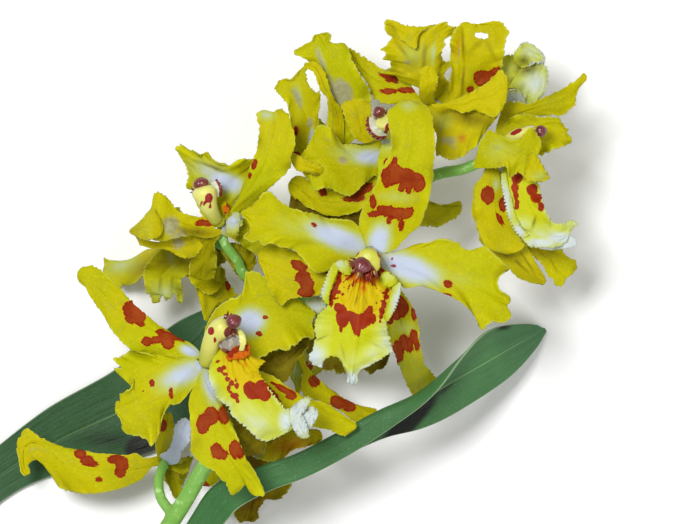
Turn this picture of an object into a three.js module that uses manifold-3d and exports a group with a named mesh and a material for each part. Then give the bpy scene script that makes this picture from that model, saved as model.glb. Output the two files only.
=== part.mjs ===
// A cut spray of a yellow orchid, laid down on a flat surface and seen from above.
// One flower spike carries eleven blooms on short stalks, and two strap leaves clasp its foot.
// All sizes are millimetres, +Z is up, and the surface that the spray lies on is z = 0.

import * as THREE from "three";
import { mergeVertices } from "three/addons/utils/BufferGeometryUtils.js";
import Module from "manifold-3d";

const wasm = await Module();
wasm.setup();

// Driving sizes
const CLEARANCE = 0.3; // air left between two pieces that touch
const TEPAL_THICKNESS = 0.9;
const LIP_THICKNESS = 0.9;
const LEAF_THICKNESS = 1.2;
const FLOOR_TRIM = 0.3; // how far the back leaf would sink, so that its underside is cut flat
const HUB_RADIUS = 2.5; // knot where the five tepals of a bloom grow together
const ROOT_DEPTH = 1.2; // how far from the middle of the hub a tepal starts
const ROOT_HALF_WIDTH = 1.5;
const STALK_RADIUS = 1.45;
const SPIKE_RADIUS = 2.2;
const BALL_SIDES = 7; // facets round a hub or an anther cap
const BALL_RINGS = 5;
const CAP_RADII = [2.0, 1.7, 1.5];
const FOLD_THICKNESS = 0.8; // the folded front leaf is thinner than the back one

// Shape of a blade's rim
const TIP_POWER = 2.5; // how squarely the rounded tip of a blade ends
const WAVE_POWER = 1.5; // how soon a wave dies away from the margin inwards
const SIDE_SHIFT = 0.37; // share of a wave by which one margin is out of step with the other

// The plan of the spray is measured from its lower left corner, and this shift centres the whole of it.
const CENTRE_X = 59.6;
const CENTRE_Y = 34.5;

// Colours of the living pieces
const FINISH = {
  tepals: { color: 0xcdc80f, roughness: 0.55, metalness: 0 },
  lip: { color: 0xe2d424, roughness: 0.55, metalness: 0 },
  column: { color: 0xf0eb7c, roughness: 0.45, metalness: 0 },
  cap: { color: 0x83384f, roughness: 0.35, metalness: 0 },
  spike: { color: 0x78b545, roughness: 0.45, metalness: 0 },
  leaf: { color: 0x3f6a3a, roughness: 0.45, metalness: 0 },
};

const UP = new THREE.Vector3(0, 0, 1);

// A row of numbers at the fraction v of the way along a list of rows, on a smooth curve through them
function along(rows, v) {
  const last = rows.length - 1;
  const place = Math.min(Math.max(v, 0), 1) * last;
  const i = Math.min(Math.floor(place), last - 1);
  const f = place - i;
  const entry = (k, c) => rows[k][c] ?? 0;
  const mirrored = (near, far, c) => 2 * entry(near, c) - entry(far, c);
  const width = Math.max(...rows.map((row) => row.length));
  return Array.from({ length: width }, (_, c) => {
    const b = entry(i, c);
    const d = entry(i + 1, c);
    const a = i > 0 ? entry(i - 1, c) : mirrored(i, i + 1, c);
    const e = i + 2 <= last ? entry(i + 2, c) : mirrored(i + 1, i, c);
    const slope = d - a;
    const bend = 2 * a - 5 * b + 4 * d - e;
    const twist = 3 * b - a - 3 * d + e;
    return 0.5 * (2 * b + slope * f + bend * f * f + twist * f ** 3);
  });
}

// The middle and the three directions (ahead, to the left and up) of a curve at the fraction v
function stance(rows, v) {
  const step = 0.01;
  const here = along(rows, v);
  const before = new THREE.Vector3(...along(rows, v - step));
  const after = new THREE.Vector3(...along(rows, v + step));
  const ahead = after.sub(before).normalize();
  const left = new THREE.Vector3().crossVectors(UP, ahead).normalize();
  const top = new THREE.Vector3().crossVectors(ahead, left);
  return { here, middle: new THREE.Vector3(here[0], here[1], here[2]), ahead, left, top };
}

// A closed solid from two sheets of points, lower and upper, with a rim between them
function solidFromSheets(sheet, lengthCells, widthCells, thickness) {
  const points = [];
  const index = (i, j, layer) => (i * (widthCells + 1) + j) * 2 + layer;
  for (let i = 0; i <= lengthCells; i += 1) {
    for (let j = 0; j <= widthCells; j += 1) {
      const ahead = sheet(Math.min(i + 1, lengthCells), j).sub(sheet(Math.max(i - 1, 0), j));
      const across = sheet(i, Math.min(j + 1, widthCells)).sub(sheet(i, Math.max(j - 1, 0)));
      const normal = ahead.cross(across).normalize().multiplyScalar(thickness / 2);
      const point = sheet(i, j);
      points.push(point.clone().sub(normal), point.clone().add(normal));
    }
  }
  const faces = [];
  const quad = (a, b, c, d) => faces.push(a, b, c, a, c, d);
  for (let i = 0; i < lengthCells; i += 1) {
    for (let j = 0; j < widthCells; j += 1) {
      quad(index(i, j, 1), index(i + 1, j, 1), index(i + 1, j + 1, 1), index(i, j + 1, 1));
      faces.push(index(i, j, 0), index(i + 1, j + 1, 0), index(i + 1, j, 0));
      faces.push(index(i, j, 0), index(i, j + 1, 0), index(i + 1, j + 1, 0));
    }
  }
  // the rims close the long sides and the two ends
  const far = widthCells;
  for (let i = 0; i < lengthCells; i += 1) {
    quad(index(i, 0, 0), index(i + 1, 0, 0), index(i + 1, 0, 1), index(i, 0, 1));
    quad(index(i + 1, far, 0), index(i, far, 0), index(i, far, 1), index(i + 1, far, 1));
  }
  const end = lengthCells;
  for (let j = 0; j < widthCells; j += 1) {
    quad(index(0, j + 1, 0), index(0, j, 0), index(0, j, 1), index(0, j + 1, 1));
    quad(index(end, j, 0), index(end, j + 1, 0), index(end, j + 1, 1), index(end, j, 1));
  }
  return solid(points.flatMap((p) => [p.x, p.y, p.z]), faces);
}

function solid(numbers, faces) {
  return new wasm.Manifold(
    new wasm.Mesh({ numProp: 3, vertProperties: new Float32Array(numbers),
      triVerts: new Uint32Array(faces) }),
  );
}

// A thin petal-like blade. Each row of its midline is x, y, z, half width on the left and on the right.
// A wave lifts the margins, the tip is rounded, and lobes notch its end.
function blade(rows, form = {}) {
  const { thickness = TEPAL_THICKNESS, cells = [6, 4], cup = 0, wave = 0, waves = 2.5 } = form;
  const { phase = 0, round = 0.1, notch = 0, lobes = 2 } = form;
  const [lengthCells, widthCells] = cells;
  const sheet = (i, j) => {
    const s = (2 * j) / widthCells - 1;
    const rounded = round * Math.abs(s) ** TIP_POWER;
    const notched = notch * (0.5 + 0.5 * Math.cos(Math.PI * (lobes * s + phase)));
    const v = (i / lengthCells) * (1 - rounded - notched);
    const { here, middle, left, top } = stance(rows, v);
    const half = s > 0 ? here[3] : here[4];
    const swing = Math.sin(2 * Math.PI * (waves * v + phase + (s > 0 ? 0 : SIDE_SHIFT)));
    const ramp = Math.min(1, 2 * v);
    const lift = cup * half * s * s + wave * ramp * Math.abs(s) ** WAVE_POWER * swing;
    return middle.addScaledVector(left, s * half).addScaledVector(top, lift);
  };
  return solidFromSheets(sheet, lengthCells, widthCells, thickness);
}

// A round body along a curve. Each row is x, y, z, radius; grow adds to the radius and to both ends.
function rod(rows, sides, steps, grow = 0) {
  const points = [];
  const faces = [];
  const first = stance(rows, 0);
  let across = first.left.clone();
  for (let i = 0; i <= steps; i += 1) {
    const { here, middle, ahead } = stance(rows, i / steps);
    across = across.addScaledVector(ahead, -across.dot(ahead)).normalize();
    const other = new THREE.Vector3().crossVectors(ahead, across);
    const endward = (i === 0 ? -grow : 0) + (i === steps ? grow : 0);
    for (let k = 0; k < sides; k += 1) {
      const angle = (2 * Math.PI * k) / sides;
      const point = middle.clone().addScaledVector(ahead, endward);
      point.addScaledVector(across, Math.cos(angle) * (here[3] + grow));
      point.addScaledVector(other, Math.sin(angle) * (here[3] + grow));
      points.push(point);
    }
  }
  for (let i = 0; i < steps; i += 1) {
    for (let k = 0; k < sides; k += 1) {
      const a = i * sides + k;
      const b = i * sides + ((k + 1) % sides);
      faces.push(a, b, b + sides, a, b + sides, a + sides);
    }
  }
  const last = steps * sides;
  for (let k = 1; k < sides - 1; k += 1) {
    faces.push(0, k + 1, k, last, last + k, last + k + 1);
  }
  return solid(points.flatMap((p) => [p.x, p.y, p.z]), faces);
}

function ellipsoid(centre, radii) {
  const geometry = new THREE.SphereGeometry(1, BALL_SIDES, BALL_RINGS);
  geometry.deleteAttribute("normal");
  geometry.deleteAttribute("uv");
  geometry.scale(...radii);
  geometry.translate(...centre);
  const merged = mergeVertices(geometry);
  return solid([...merged.attributes.position.array], [...merged.index.array]);
}

const hub = (centre, grow = 0) => ellipsoid(centre, Array(3).fill(HUB_RADIUS + grow));

const materials = Object.fromEntries(
  Object.entries(FINISH).map(([name, finish]) => [name, new THREE.MeshStandardMaterial(finish)]),
);

const spray = new THREE.Group();

function addPiece(name, finish, body) {
  const mesh = body.getMesh();
  const geometry = new THREE.BufferGeometry();
  const numbers = new Float32Array(mesh.vertProperties);
  geometry.setAttribute("position", new THREE.BufferAttribute(numbers, 3));
  geometry.setIndex(Array.from(mesh.triVerts));
  geometry.translate(-CENTRE_X, -CENTRE_Y, 0);
  const piece = new THREE.Mesh(geometry, materials[finish]);
  piece.name = name;
  spray.add(piece);
}

// The tepals of a bloom grow out of its hub, which is their first row. The column, the lip and the stalk
// are cut back round them, so that each is seated with a little air.
const rooms = [];
const COLUMN_CELLS = [6, 3]; // sides and lengths of a column that is out of sight
const OPEN_COLUMN = [8, 4];

function addBloom(name, bloom) {
  const roomThickness = TEPAL_THICKNESS + 2 * CLEARANCE;
  let tepals = hub(bloom.hub);
  let room = hub(bloom.hub, CLEARANCE);
  for (const [rows, form] of bloom.tepals) {
    const midline = [rootOf(bloom.hub, rows[0]), ...rows];
    tepals = tepals.add(blade(midline, form));
    room = room.add(blade(midline.map(widened), { ...form, thickness: roomThickness }));
  }
  rooms.push(room);
  const capRadii = bloom.capRadii ?? CAP_RADII;
  const capRoom = ellipsoid(bloom.cap, capRadii.map((r) => r + CLEARANCE));
  const [sides, steps] = bloom.columnCells ?? COLUMN_CELLS;
  const column = rod(bloom.column, sides, steps).subtract(room).subtract(capRoom);
  const columnRoom = rod(bloom.column, sides, steps, CLEARANCE);
  const [lipRows, lipForm] = bloom.lip;
  const lip = blade(lipRows, { thickness: LIP_THICKNESS, ...lipForm });
  const seatedLip = lip.subtract(columnRoom).subtract(room).subtract(capRoom);
  addPiece("bloom_" + name + "_tepals", "tepals", tepals);
  addPiece("bloom_" + name + "_lip", "lip", largest(seatedLip));
  addPiece("bloom_" + name + "_column", "column", largest(column));
  addPiece("bloom_" + name + "_anther_cap", "cap", ellipsoid(bloom.cap, capRadii));
}

// A tepal's root lies well inside the hub, on the side that the tepal leaves it
function rootOf(centre, row) {
  const middle = new THREE.Vector3(...centre);
  const outward = new THREE.Vector3(...row).sub(middle).setLength(ROOT_DEPTH);
  return [...middle.add(outward).toArray(), ROOT_HALF_WIDTH, ROOT_HALF_WIDTH];
}

const widened = (row) => [...row.slice(0, 3), row[3] + CLEARANCE, row[4] + CLEARANCE];

function largest(body) {
  const pieces = body.decompose();
  return pieces.sort((a, b) => b.volume() - a.volume())[0];
}

// Cells along and across the blades
const PETAL = [5, 6];
const SEPAL = [5, 4];
const SMALL = [4, 4];
const BENT = [6, 4];
const LONG = [7, 4];
const BROAD = [6, 6];
const OPEN_LIP = [7, 6];
const HIDDEN_LIP = [5, 4];

// Bloom a faces the viewer in the middle of the spray.
addBloom("a", {
  hub: [93, 68, 50],
  tepals: [
    // dorsal sepal, its end folded back
    [[[94.5, 71.5, 50.5, 3.6, 3.6], [97, 75.5, 51.5, 6.5, 7.6], [100.8, 83.5, 54, 7.5, 7],
      [102.7, 91, 55.5, 6, 6.2],
      [103.7, 97.3, 56, 6, 6.6], [103, 103, 55, 6, 6], [100.8, 105.8, 52, 5, 5]],
      { cells: LONG, wave: 0.4 }],
    // left petal
    [[[90.5, 67.8, 50.6, 2.5, 2.5], [83.8, 70.3, 52, 5.8, 5.8], [76.3, 73.5, 53.5, 8.5, 4.3],
      [68.8, 76, 54.5, 6.5, 5], [61.5, 77.5, 54, 6, 2.8]],
      { cells: PETAL, wave: 0.9, notch: 0.08, lobes: 3 }],
    // right petal
    [[[96.5, 66, 50.6, 3, 3], [103.8, 64.5, 52, 5.5, 5.3], [111.3, 62, 53.5, 9, 5.3],
      [118.8, 59.8, 54, 9, 8.8],
      [125, 56.8, 52.5, 8.8, 6.5]], { cells: PETAL, wave: 0.9, notch: 0.08, lobes: 3, phase: 0.4 }],
    // left lateral sepal
    [[[87.5, 63.5, 48.2, 2.6, 2.6], [81.3, 62.5, 47, 4.6, 4.2], [74.5, 62, 46.5, 5.6, 5.2],
      [68.8, 64, 46, 5, 4.6],
      [65.5, 66.5, 45, 3, 3]], { cells: SEPAL, wave: 0.5 }],
    // right lateral sepal
    [[[96, 60.3, 46.5, 3.2, 3.2], [98.8, 54.8, 43, 4, 4], [100.5, 48.5, 38, 4.2, 4.2],
      [102.5, 42.3, 32, 4.2, 4.2],
      [104.5, 36.5, 26, 4.2, 4.2], [106, 32.5, 22, 3.6, 3.6]], { cells: BENT, wave: 0.3 }],
  ],
  lip: [[[92, 66, 53, 3, 3], [90.8, 58.5, 54.5, 9, 9.3], [90, 53.5, 55.5, 8.6, 8], [89.3, 48, 56, 8, 9],
    [88.3, 43, 55.5, 9.6, 10.6], [88, 38, 54.5, 5, 5], [88, 35, 53.5, 1, 1]],
  { cells: OPEN_LIP, wave: 0.8, waves: 3.5, round: 0.05 }],
  column: [[93, 68, 51, 2.7], [92.7, 67.7, 55, 3.2], [91.9, 66.5, 58.5, 3.2], [91, 65.2, 60.8, 2.6]],
  cap: [90.8, 65, 61.2],
  columnCells: OPEN_COLUMN,
});

// Bloom b faces the viewer too, lower on the left.
addBloom("b", {
  hub: [51.5, 40.5, 46],
  tepals: [
    // dorsal sepal, with a curled tip
    [[[48, 43.5, 46.6, 3, 3], [42.5, 46, 47.5, 4.2, 4.2], [33.8, 51, 49, 4.8, 4.8],
      [27, 56.8, 49.5, 4.6, 4.6],
      [22, 62, 48.5, 3.8, 3.8], [19.6, 63.5, 46.8, 2.4, 2.4]], { cells: LONG, wave: 0.4 }],
    // left petal, the broadest of the spray
    [[[49.5, 39.4, 46.5, 2.6, 2.6], [45, 36.5, 48, 6.5, 6.5], [38.8, 33, 49, 10.5, 10.8],
      [33.8, 31, 49.5, 10.8, 10.8], [30, 30, 48, 9, 9]],
      { cells: BROAD, wave: 1.4, waves: 3.5, notch: 0.12, lobes: 4 }],
    // upper right petal
    [[[53.8, 43.5, 45, 3, 3], [60, 49, 43.5, 6.6, 4.5], [66.3, 52.3, 42.5, 10, 8.6],
      [72.5, 52.3, 42, 6, 7.8],
      [78, 50.5, 41.5, 2.5, 4]], { cells: PETAL, wave: 1, notch: 0.06, lobes: 3 }],
    // lower lateral sepal, forked at its end
    [[[50.8, 35.5, 47, 3, 3], [52.3, 29.8, 48, 4.8, 4.8], [54.3, 22.3, 49.5, 5.7, 5.7],
      [57.3, 15.5, 50, 6.2, 6.2],
      [60.5, 11, 49, 4.7, 4.7], [62.3, 7.5, 47.5, 4, 4]],
      { cells: LONG, wave: 0.5, notch: 0.1, lobes: 1, round: 0 }],
    // right lateral sepal
    [[[54, 38, 45, 2.6, 2.6], [62.5, 34.8, 43.5, 4, 4], [71.3, 31.5, 42, 4.2, 4.2],
      [80, 27.8, 40, 4.2, 4.2],
      [86.3, 24.8, 38, 4.2, 4.2], [88.5, 24, 37, 3.4, 3.4]], { cells: SEPAL, wave: 0.3, round: 0.05 }],
  ],
  lip: [[[56, 44, 50.5, 3, 3], [59.5, 39, 52, 5.5, 6], [62.5, 34, 53, 5.5, 7.5], [66.3, 29, 53.5, 5, 7],
    [70.5, 26.5, 53, 5, 6.5], [74.5, 26.3, 52, 5, 4.5], [77, 27, 51, 4, 4]],
  { cells: OPEN_LIP, wave: 0.8, waves: 4, round: 0.05 }],
  column: [[51.3, 40.2, 47, 2.7], [53, 42.8, 51.8, 2.8], [56, 47, 54.5, 2.7], [58, 50, 56, 2.4]],
  cap: [58.6, 50.8, 56.8],
  columnCells: OPEN_COLUMN,
});

// Bloom c looks away to the upper left, so its column shows from behind.
addBloom("c", {
  hub: [55, 74, 38],
  tepals: [
    // upper left petal, broad and ragged
    [[[55.5, 79.5, 38.5, 3.5, 3.5], [54.8, 84.5, 39, 6.5, 6.5], [53.8, 88.5, 39.5, 8, 8.5],
      [53, 92, 39.5, 8.6, 9]], { cells: PETAL, wave: 1, notch: 0.1, lobes: 3 }],
    // upright sepal
    [[[57.5, 78, 40.8, 3, 3], [61.5, 82.3, 43, 5, 5], [65.5, 88.5, 44.5, 5.2, 5.2], [68, 94.8, 45, 5, 5],
      [69, 100, 44.5, 4.6, 4.6], [68.3, 103, 43.5, 3, 3]], { cells: SEPAL, wave: 0.4 }],
    // lower left sepal, arched and folded at its end
    [[[49, 74.3, 38.5, 3.3, 3.5], [43.8, 76, 40, 4, 4], [40, 76.8, 41.5, 3.8, 4], [36.3, 75, 40.5, 4, 4],
      [33, 73, 38, 3.4, 3.4]], { cells: SEPAL, wave: 0.5, cup: -0.25 }],
    // right petal, half hidden
    [[[60, 73, 36.5, 3.5, 2.5], [65, 70.8, 35.5, 5, 3.5], [69, 69, 35, 5, 4], [72, 68.4, 34.5, 4, 4]],
      { cells: PETAL, wave: 0.7 }],
    // lower right sepal, seen from behind
    [[[52, 70.5, 35.2, 1.8, 1.8], [51, 65.5, 32.5, 3.2, 3.4], [50, 61, 30, 3, 3]], { cells: SMALL }],
  ],
  lip: [[[54.6, 74.4, 36.2, 2.3, 2.3], [52.3, 80, 31, 5, 5], [50.8, 84, 27, 6, 6], [49.8, 87.5, 24, 6, 6],
    [49.2, 90, 22, 3, 3]], { cells: HIDDEN_LIP, wave: 0.6 }],
  column: [[54.6, 74.8, 39.5, 2.4], [53.4, 77.5, 43, 2.5], [52, 81.5, 45.5, 2.5], [51.1, 84, 46.3, 2.2]],
  cap: [50.8, 85, 46.6],
});

// Bloom d stands behind the dorsal sepal of bloom a.
addBloom("d", {
  hub: [97, 96, 36],
  tepals: [
    // left petal
    [[[94.5, 93.6, 36.5, 3, 2.6], [90, 91, 37.5, 7.3, 4.3], [83.8, 91, 38.5, 7.5, 5.5],
      [78, 91, 39, 6.5, 8.5],
      [72.5, 90.3, 38.5, 5, 4]], { cells: PETAL, wave: 0.8, notch: 0.06, lobes: 3 }],
    // left lateral sepal
    [[[95.5, 88.5, 34.5, 3, 3], [91.3, 83.3, 33.5, 3.3, 3.3], [85, 80.3, 33, 4.2, 4.2],
      [78.8, 81, 33, 4.5, 4.5],
      [74.3, 84, 33.5, 4, 4], [72, 87, 34, 2.5, 2.5]], { cells: BENT, wave: 0.5 }],
    // upper left sepal, short and bright
    [[[92.5, 98.5, 37.8, 3.4, 3], [89, 101.5, 39.2, 4, 4], [86.3, 104, 39.6, 3.6, 3.6]],
      { cells: SMALL, wave: 0.5 }],
    // right lateral sepal, in the shade
    [[[98.5, 91, 34.5, 2.8, 2.8], [101, 85.5, 34, 3.4, 3.4], [106.5, 79.8, 30.5, 3.8, 3.8],
      [114, 78, 25, 3, 3]],
      { cells: SEPAL, wave: 0.6, notch: 0.1, lobes: 2 }],
    // right petal, hidden
    [[[100, 97, 36.8, 3, 3], [103, 98.5, 37.5, 4, 4], [105.2, 99.6, 37.6, 3.6, 3.6]], { cells: SMALL }],
  ],
  lip: [[[97.5, 94.8, 38.8, 2.6, 2.6], [99, 90.5, 40.8, 5, 5], [101, 86, 41.6, 5.5, 5.5],
    [102.5, 82, 41, 2.5, 2.5]],
    { cells: HIDDEN_LIP, wave: 0.6 }],
  column: [[96.6, 97.4, 37.6, 2.3], [95.8, 99.8, 41.8, 2.4], [95.1, 101.8, 44, 2.3],
    [94.9, 102.6, 44.8, 2.1]],
  cap: [94.8, 103.2, 45.6],
  capRadii: [1.6, 1.5, 1.3],
});

// Bloom e hangs from the end of the spike and is seen from its side.
addBloom("e", {
  hub: [123, 91.5, 36],
  tepals: [
    // dorsal sepal, long and pointed
    [[[125.5, 98, 35, 2.6, 2.6], [129.5, 102.3, 34, 3, 3], [135, 104.5, 32, 3.6, 3.6],
      [141.3, 106.5, 33.5, 4, 3.6],
      [146.6, 111.8, 36, 0.8, 0.8]], { cells: SEPAL, round: 0 }],
    // upper petal
    [[[125.5, 95.3, 35, 2.8, 2.8], [129.5, 98, 36, 3.8, 3.8], [133.8, 98.8, 36.3, 4.4, 4.4],
      [138.8, 98.4, 36, 4.6, 4.6], [142, 97, 35, 4, 4]],
      { cells: PETAL, wave: 0.6, notch: 0.1, lobes: 3 }],
    // front petal, raised in front of the column
    [[[124.8, 90, 41, 2.4, 2.6], [128.4, 90.2, 44.5, 3.4, 4], [132.5, 89.5, 45.5, 4.6, 4],
      [136, 87.6, 45, 3.8, 3.5]],
      { cells: PETAL, wave: 0.8, waves: 2, notch: 0.1, lobes: 2 }],
    // left lateral sepal, folded along its middle
    [[[122.3, 83.5, 34, 4, 3.6], [123.5, 77.3, 33, 4.5, 4.2], [127, 71, 31, 4.8, 4.5],
      [131.8, 65.5, 28.5, 4.2, 4],
      [136.5, 60.3, 25.5, 1.2, 1.2]], { cells: SEPAL, wave: 0.5, cup: -0.2, round: 0 }],
    // right lateral sepal
    [[[126.3, 87.3, 32, 2.2, 2.2], [130, 77.3, 28.5, 3, 3], [133.8, 69.8, 26, 3.5, 3.5],
      [138, 65.5, 24, 4.5, 4.5],
      [141.5, 62.3, 23, 4.5, 4.5]], { cells: SEPAL, wave: 0.6, notch: 0.1, lobes: 2 }],
  ],
  lip: [[[125, 90, 37.5, 2.2, 2.2], [128, 87.8, 39.3, 3, 3], [130.5, 83.5, 40, 5, 5],
    [132.5, 79, 40, 5.5, 6],
    [135, 74.8, 39.5, 5.5, 6], [138, 72, 38.5, 5, 4.6], [141.5, 71.5, 37.5, 3.2, 3],
    [145, 74.3, 36.5, 0.7, 0.7]],
  { cells: OPEN_LIP, wave: 0.6, waves: 3.5, round: 0 }],
  column: [[124.3, 92.7, 37, 2.1], [128.6, 95.5, 40, 2.2], [132.6, 97.3, 41.8, 2.2],
    [135, 98.1, 42.5, 2]],
  cap: [135.8, 98.4, 42.9],
});

// Bloom f stands at the top of the spray, turned to the upper right.
addBloom("f", {
  hub: [109, 104.5, 30],
  tepals: [
    // upper left petal, ruffled
    [[[107.3, 107.5, 31.5, 3, 3], [105.8, 111, 33.5, 5.5, 5.5], [104.3, 116, 35.5, 8, 8],
      [103, 120.5, 36, 8, 8],
      [101.8, 124, 35, 6, 6]], { cells: PETAL, wave: 1.2, waves: 3, notch: 0.12, lobes: 3 }],
    // far left sepal
    [[[105, 106.5, 29, 1.8, 1.8], [101, 107.5, 28, 2.8, 2.8], [96, 109.5, 27.5, 3.6, 3.6],
      [91, 113, 27, 4, 4],
      [87.3, 118, 26.5, 2.4, 2.4]], { cells: SEPAL, wave: 0.4 }],
    // narrow sepal standing in front
    [[[108, 105.5, 35, 2, 2], [107.4, 107.5, 38.5, 2.3, 2.3], [107.4, 111, 40.5, 2.6, 2.6],
      [107.6, 114.5, 41, 2.3, 2.3]],
      { cells: SMALL }],
    // upright sepal
    [[[112.5, 105, 32, 3, 3], [115.5, 109, 33.5, 5, 5.5], [118, 114.8, 35, 6.5, 6.5],
      [120, 120.5, 36, 6.5, 6.5],
      [120.5, 124.6, 35.5, 5, 5]], { cells: SEPAL, wave: 0.6, notch: 0.08, lobes: 2 }],
    // lower right petal
    [[[110.8, 102.5, 34, 3.4, 3.4], [113.8, 100.8, 37, 5.5, 7.6], [118.6, 101.8, 39.5, 6.6, 6],
      [123, 106, 41, 6, 3.6], [125.6, 110.4, 41, 4, 3]],
      { cells: PETAL, wave: 0.8, notch: 0.06, lobes: 2 }],
  ],
  lip: [[[110.8, 106.2, 27.8, 2.4, 2.4], [118, 111.2, 27, 4, 4], [125, 114, 28, 4.5, 4],
    [130.5, 113.5, 31, 6.5, 3.6],
    [133, 109, 34, 4, 2.6], [132.8, 105, 36, 1.2, 1.2]],
    { cells: OPEN_LIP, wave: 0.7, waves: 3, round: 0 }],
  column: [[110.4, 103.8, 28.6, 2.1], [113, 103.4, 26, 2.2], [116, 103.8, 24, 2.2],
    [118, 104.4, 23.3, 2]],
  cap: [118.9, 104.7, 23],
});

// Bloom g looks down and to the left, so its back is seen.
addBloom("g", {
  hub: [41.3, 15.5, 14],
  tepals: [
    // long sepal with a hooked end
    [[[32.5, 13.5, 14.5, 3.7, 3.7], [25, 13.5, 15, 4.8, 4.8], [17.5, 14.5, 15, 4.8, 4.8],
      [11.3, 18.5, 14.3, 3.6, 3.6],
      [7.6, 20.3, 13.5, 2.4, 2.6], [5.6, 17.2, 12.6, 1.8, 1.8]], { cells: LONG, wave: 0.4 }],
    // white petal
    [[[43.3, 19.5, 15, 3, 3], [45.5, 24.5, 16, 3.6, 3.6], [47.5, 28, 16.5, 3, 3]],
      { cells: SMALL, wave: 0.5 }],
    // spotted sepal
    [[[40.3, 21.5, 13.5, 3, 3], [40.6, 25.5, 13.5, 3.2, 3.2], [42, 29, 13, 2.8, 2.8]],
      { cells: SMALL, wave: 0.4 }],
    // right petal
    [[[45, 14, 13.2, 2, 2], [48.2, 14.2, 12.8, 2.2, 2.2]], { cells: SMALL }],
    // lower sepal
    [[[43, 11, 12.3, 2.2, 2.2], [44.6, 7.4, 11.4, 2.2, 2.2]], { cells: SMALL }],
  ],
  lip: [[[42.5, 14.5, 12, 2.4, 2.4], [43.8, 13, 8.3, 4.2, 4.2], [45.2, 12, 5.5, 4.2, 4.2],
    [46.3, 11.6, 3.6, 2.4, 2.4]],
    { cells: HIDDEN_LIP, wave: 0.5 }],
  column: [[41, 16.4, 12.4, 2], [41.2, 18, 10, 2.1], [41.8, 20, 8.4, 2.1], [42.3, 21.4, 7.8, 1.8]],
  cap: [42.6, 22.2, 7.6],
  capRadii: [1.7, 1.5, 1.3],
});

// Bloom h lies under the spike and touches the surface below.
addBloom("h", {
  hub: [58, 19.8, 10],
  tepals: [
    // right petal
    [[[66.3, 21.5, 10.5, 4, 4], [72.5, 23.5, 10.5, 5, 4.6], [77.5, 23.5, 9.5, 4, 3.5],
      [81, 21.5, 8.5, 1.6, 1.6]],
      { cells: SMALL, wave: 0.6 }],
    // lower sepal with a torn edge, resting on the surface
    [[[60, 16, 8, 4, 4], [62.5, 12, 5.5, 6.6, 7], [64.8, 8.8, 3, 8, 8], [66, 6.5, 1.4, 7.5, 7.5]],
      { cells: PETAL, wave: 0.4, notch: 0.12, lobes: 4 }],
    // left sepal
    [[[55, 16.5, 10.5, 3, 3], [52.3, 13.3, 11, 3.4, 3.4], [50.6, 11, 10.6, 2.6, 2.6]], { cells: SMALL }],
    // two more under the bloom above
    [[[58, 26, 9.6, 3.4, 3.4], [58.5, 32, 9, 4, 4], [59, 36, 8, 3, 3]], { cells: SMALL, wave: 0.4 }],
    [[[63, 26, 9.4, 3, 3], [67, 31, 8.4, 4, 4], [70, 34, 7.4, 3, 3]], { cells: SMALL, wave: 0.4 }],
  ],
  lip: [[[59.5, 20.6, 8.2, 2.4, 2.4], [62.4, 22, 5.4, 4, 4], [65.4, 23.2, 3.6, 4, 4],
    [67.6, 24, 2.8, 2, 2]],
    { cells: HIDDEN_LIP, wave: 0.4 }],
  column: [[57.4, 18.9, 8.6, 1.9], [56.4, 17.6, 6.6, 2], [55, 16.2, 5, 2], [54, 15.2, 4.3, 1.7]],
  cap: [53.4, 14.6, 3.9],
  capRadii: [1.6, 1.5, 1.3],
});

// Bloom j hangs behind bloom c.
addBloom("j", {
  hub: [44.5, 71, 22],
  tepals: [
    // hanging petal, toothed at its end
    [[[43, 65.5, 21, 4.5, 4.8], [41.5, 61, 19.5, 5.4, 5.4], [41, 56.5, 17.5, 5, 5]],
      { cells: PETAL, wave: 0.7, notch: 0.18, lobes: 5 }],
    // left petal, bent down to the surface
    [[[38, 67.5, 17.5, 3, 3.4], [32.5, 64.8, 9.5, 4, 4], [29, 63.8, 4, 3.6, 3.6], [27, 63.6, 1, 3, 3]],
      { cells: SMALL, wave: 0.3 }],
    // right sepal
    [[[47.5, 66, 20, 3, 3], [51.5, 62, 18.5, 4, 4], [55.3, 59.8, 17, 3.4, 3.4]],
      { cells: SMALL, wave: 0.4 }],
    // lower sepal
    [[[48.5, 64, 16.5, 2.5, 2.5], [53, 59, 13.5, 3.3, 3.3], [57.6, 56.8, 11.8, 3, 3]], { cells: SMALL }],
    // upper sepal
    [[[43, 75, 20, 2.8, 2.8], [41.6, 78.6, 18.4, 3, 3]], { cells: SMALL }],
  ],
  lip: [[[45.5, 70.2, 20, 2.4, 2.4], [48, 69.3, 15.5, 4, 4], [50, 68.4, 12, 4.2, 4.2],
    [51.2, 67.8, 9.8, 2.4, 2.4]],
    { cells: HIDDEN_LIP, wave: 0.4 }],
  column: [[43.7, 71.4, 20.4, 2], [43, 72.4, 17.2, 2.1], [42.4, 73.4, 14.4, 2.1], [42, 74, 12.8, 1.8]],
  cap: [41.8, 74.3, 12],
  capRadii: [1.6, 1.5, 1.3],
});

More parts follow.
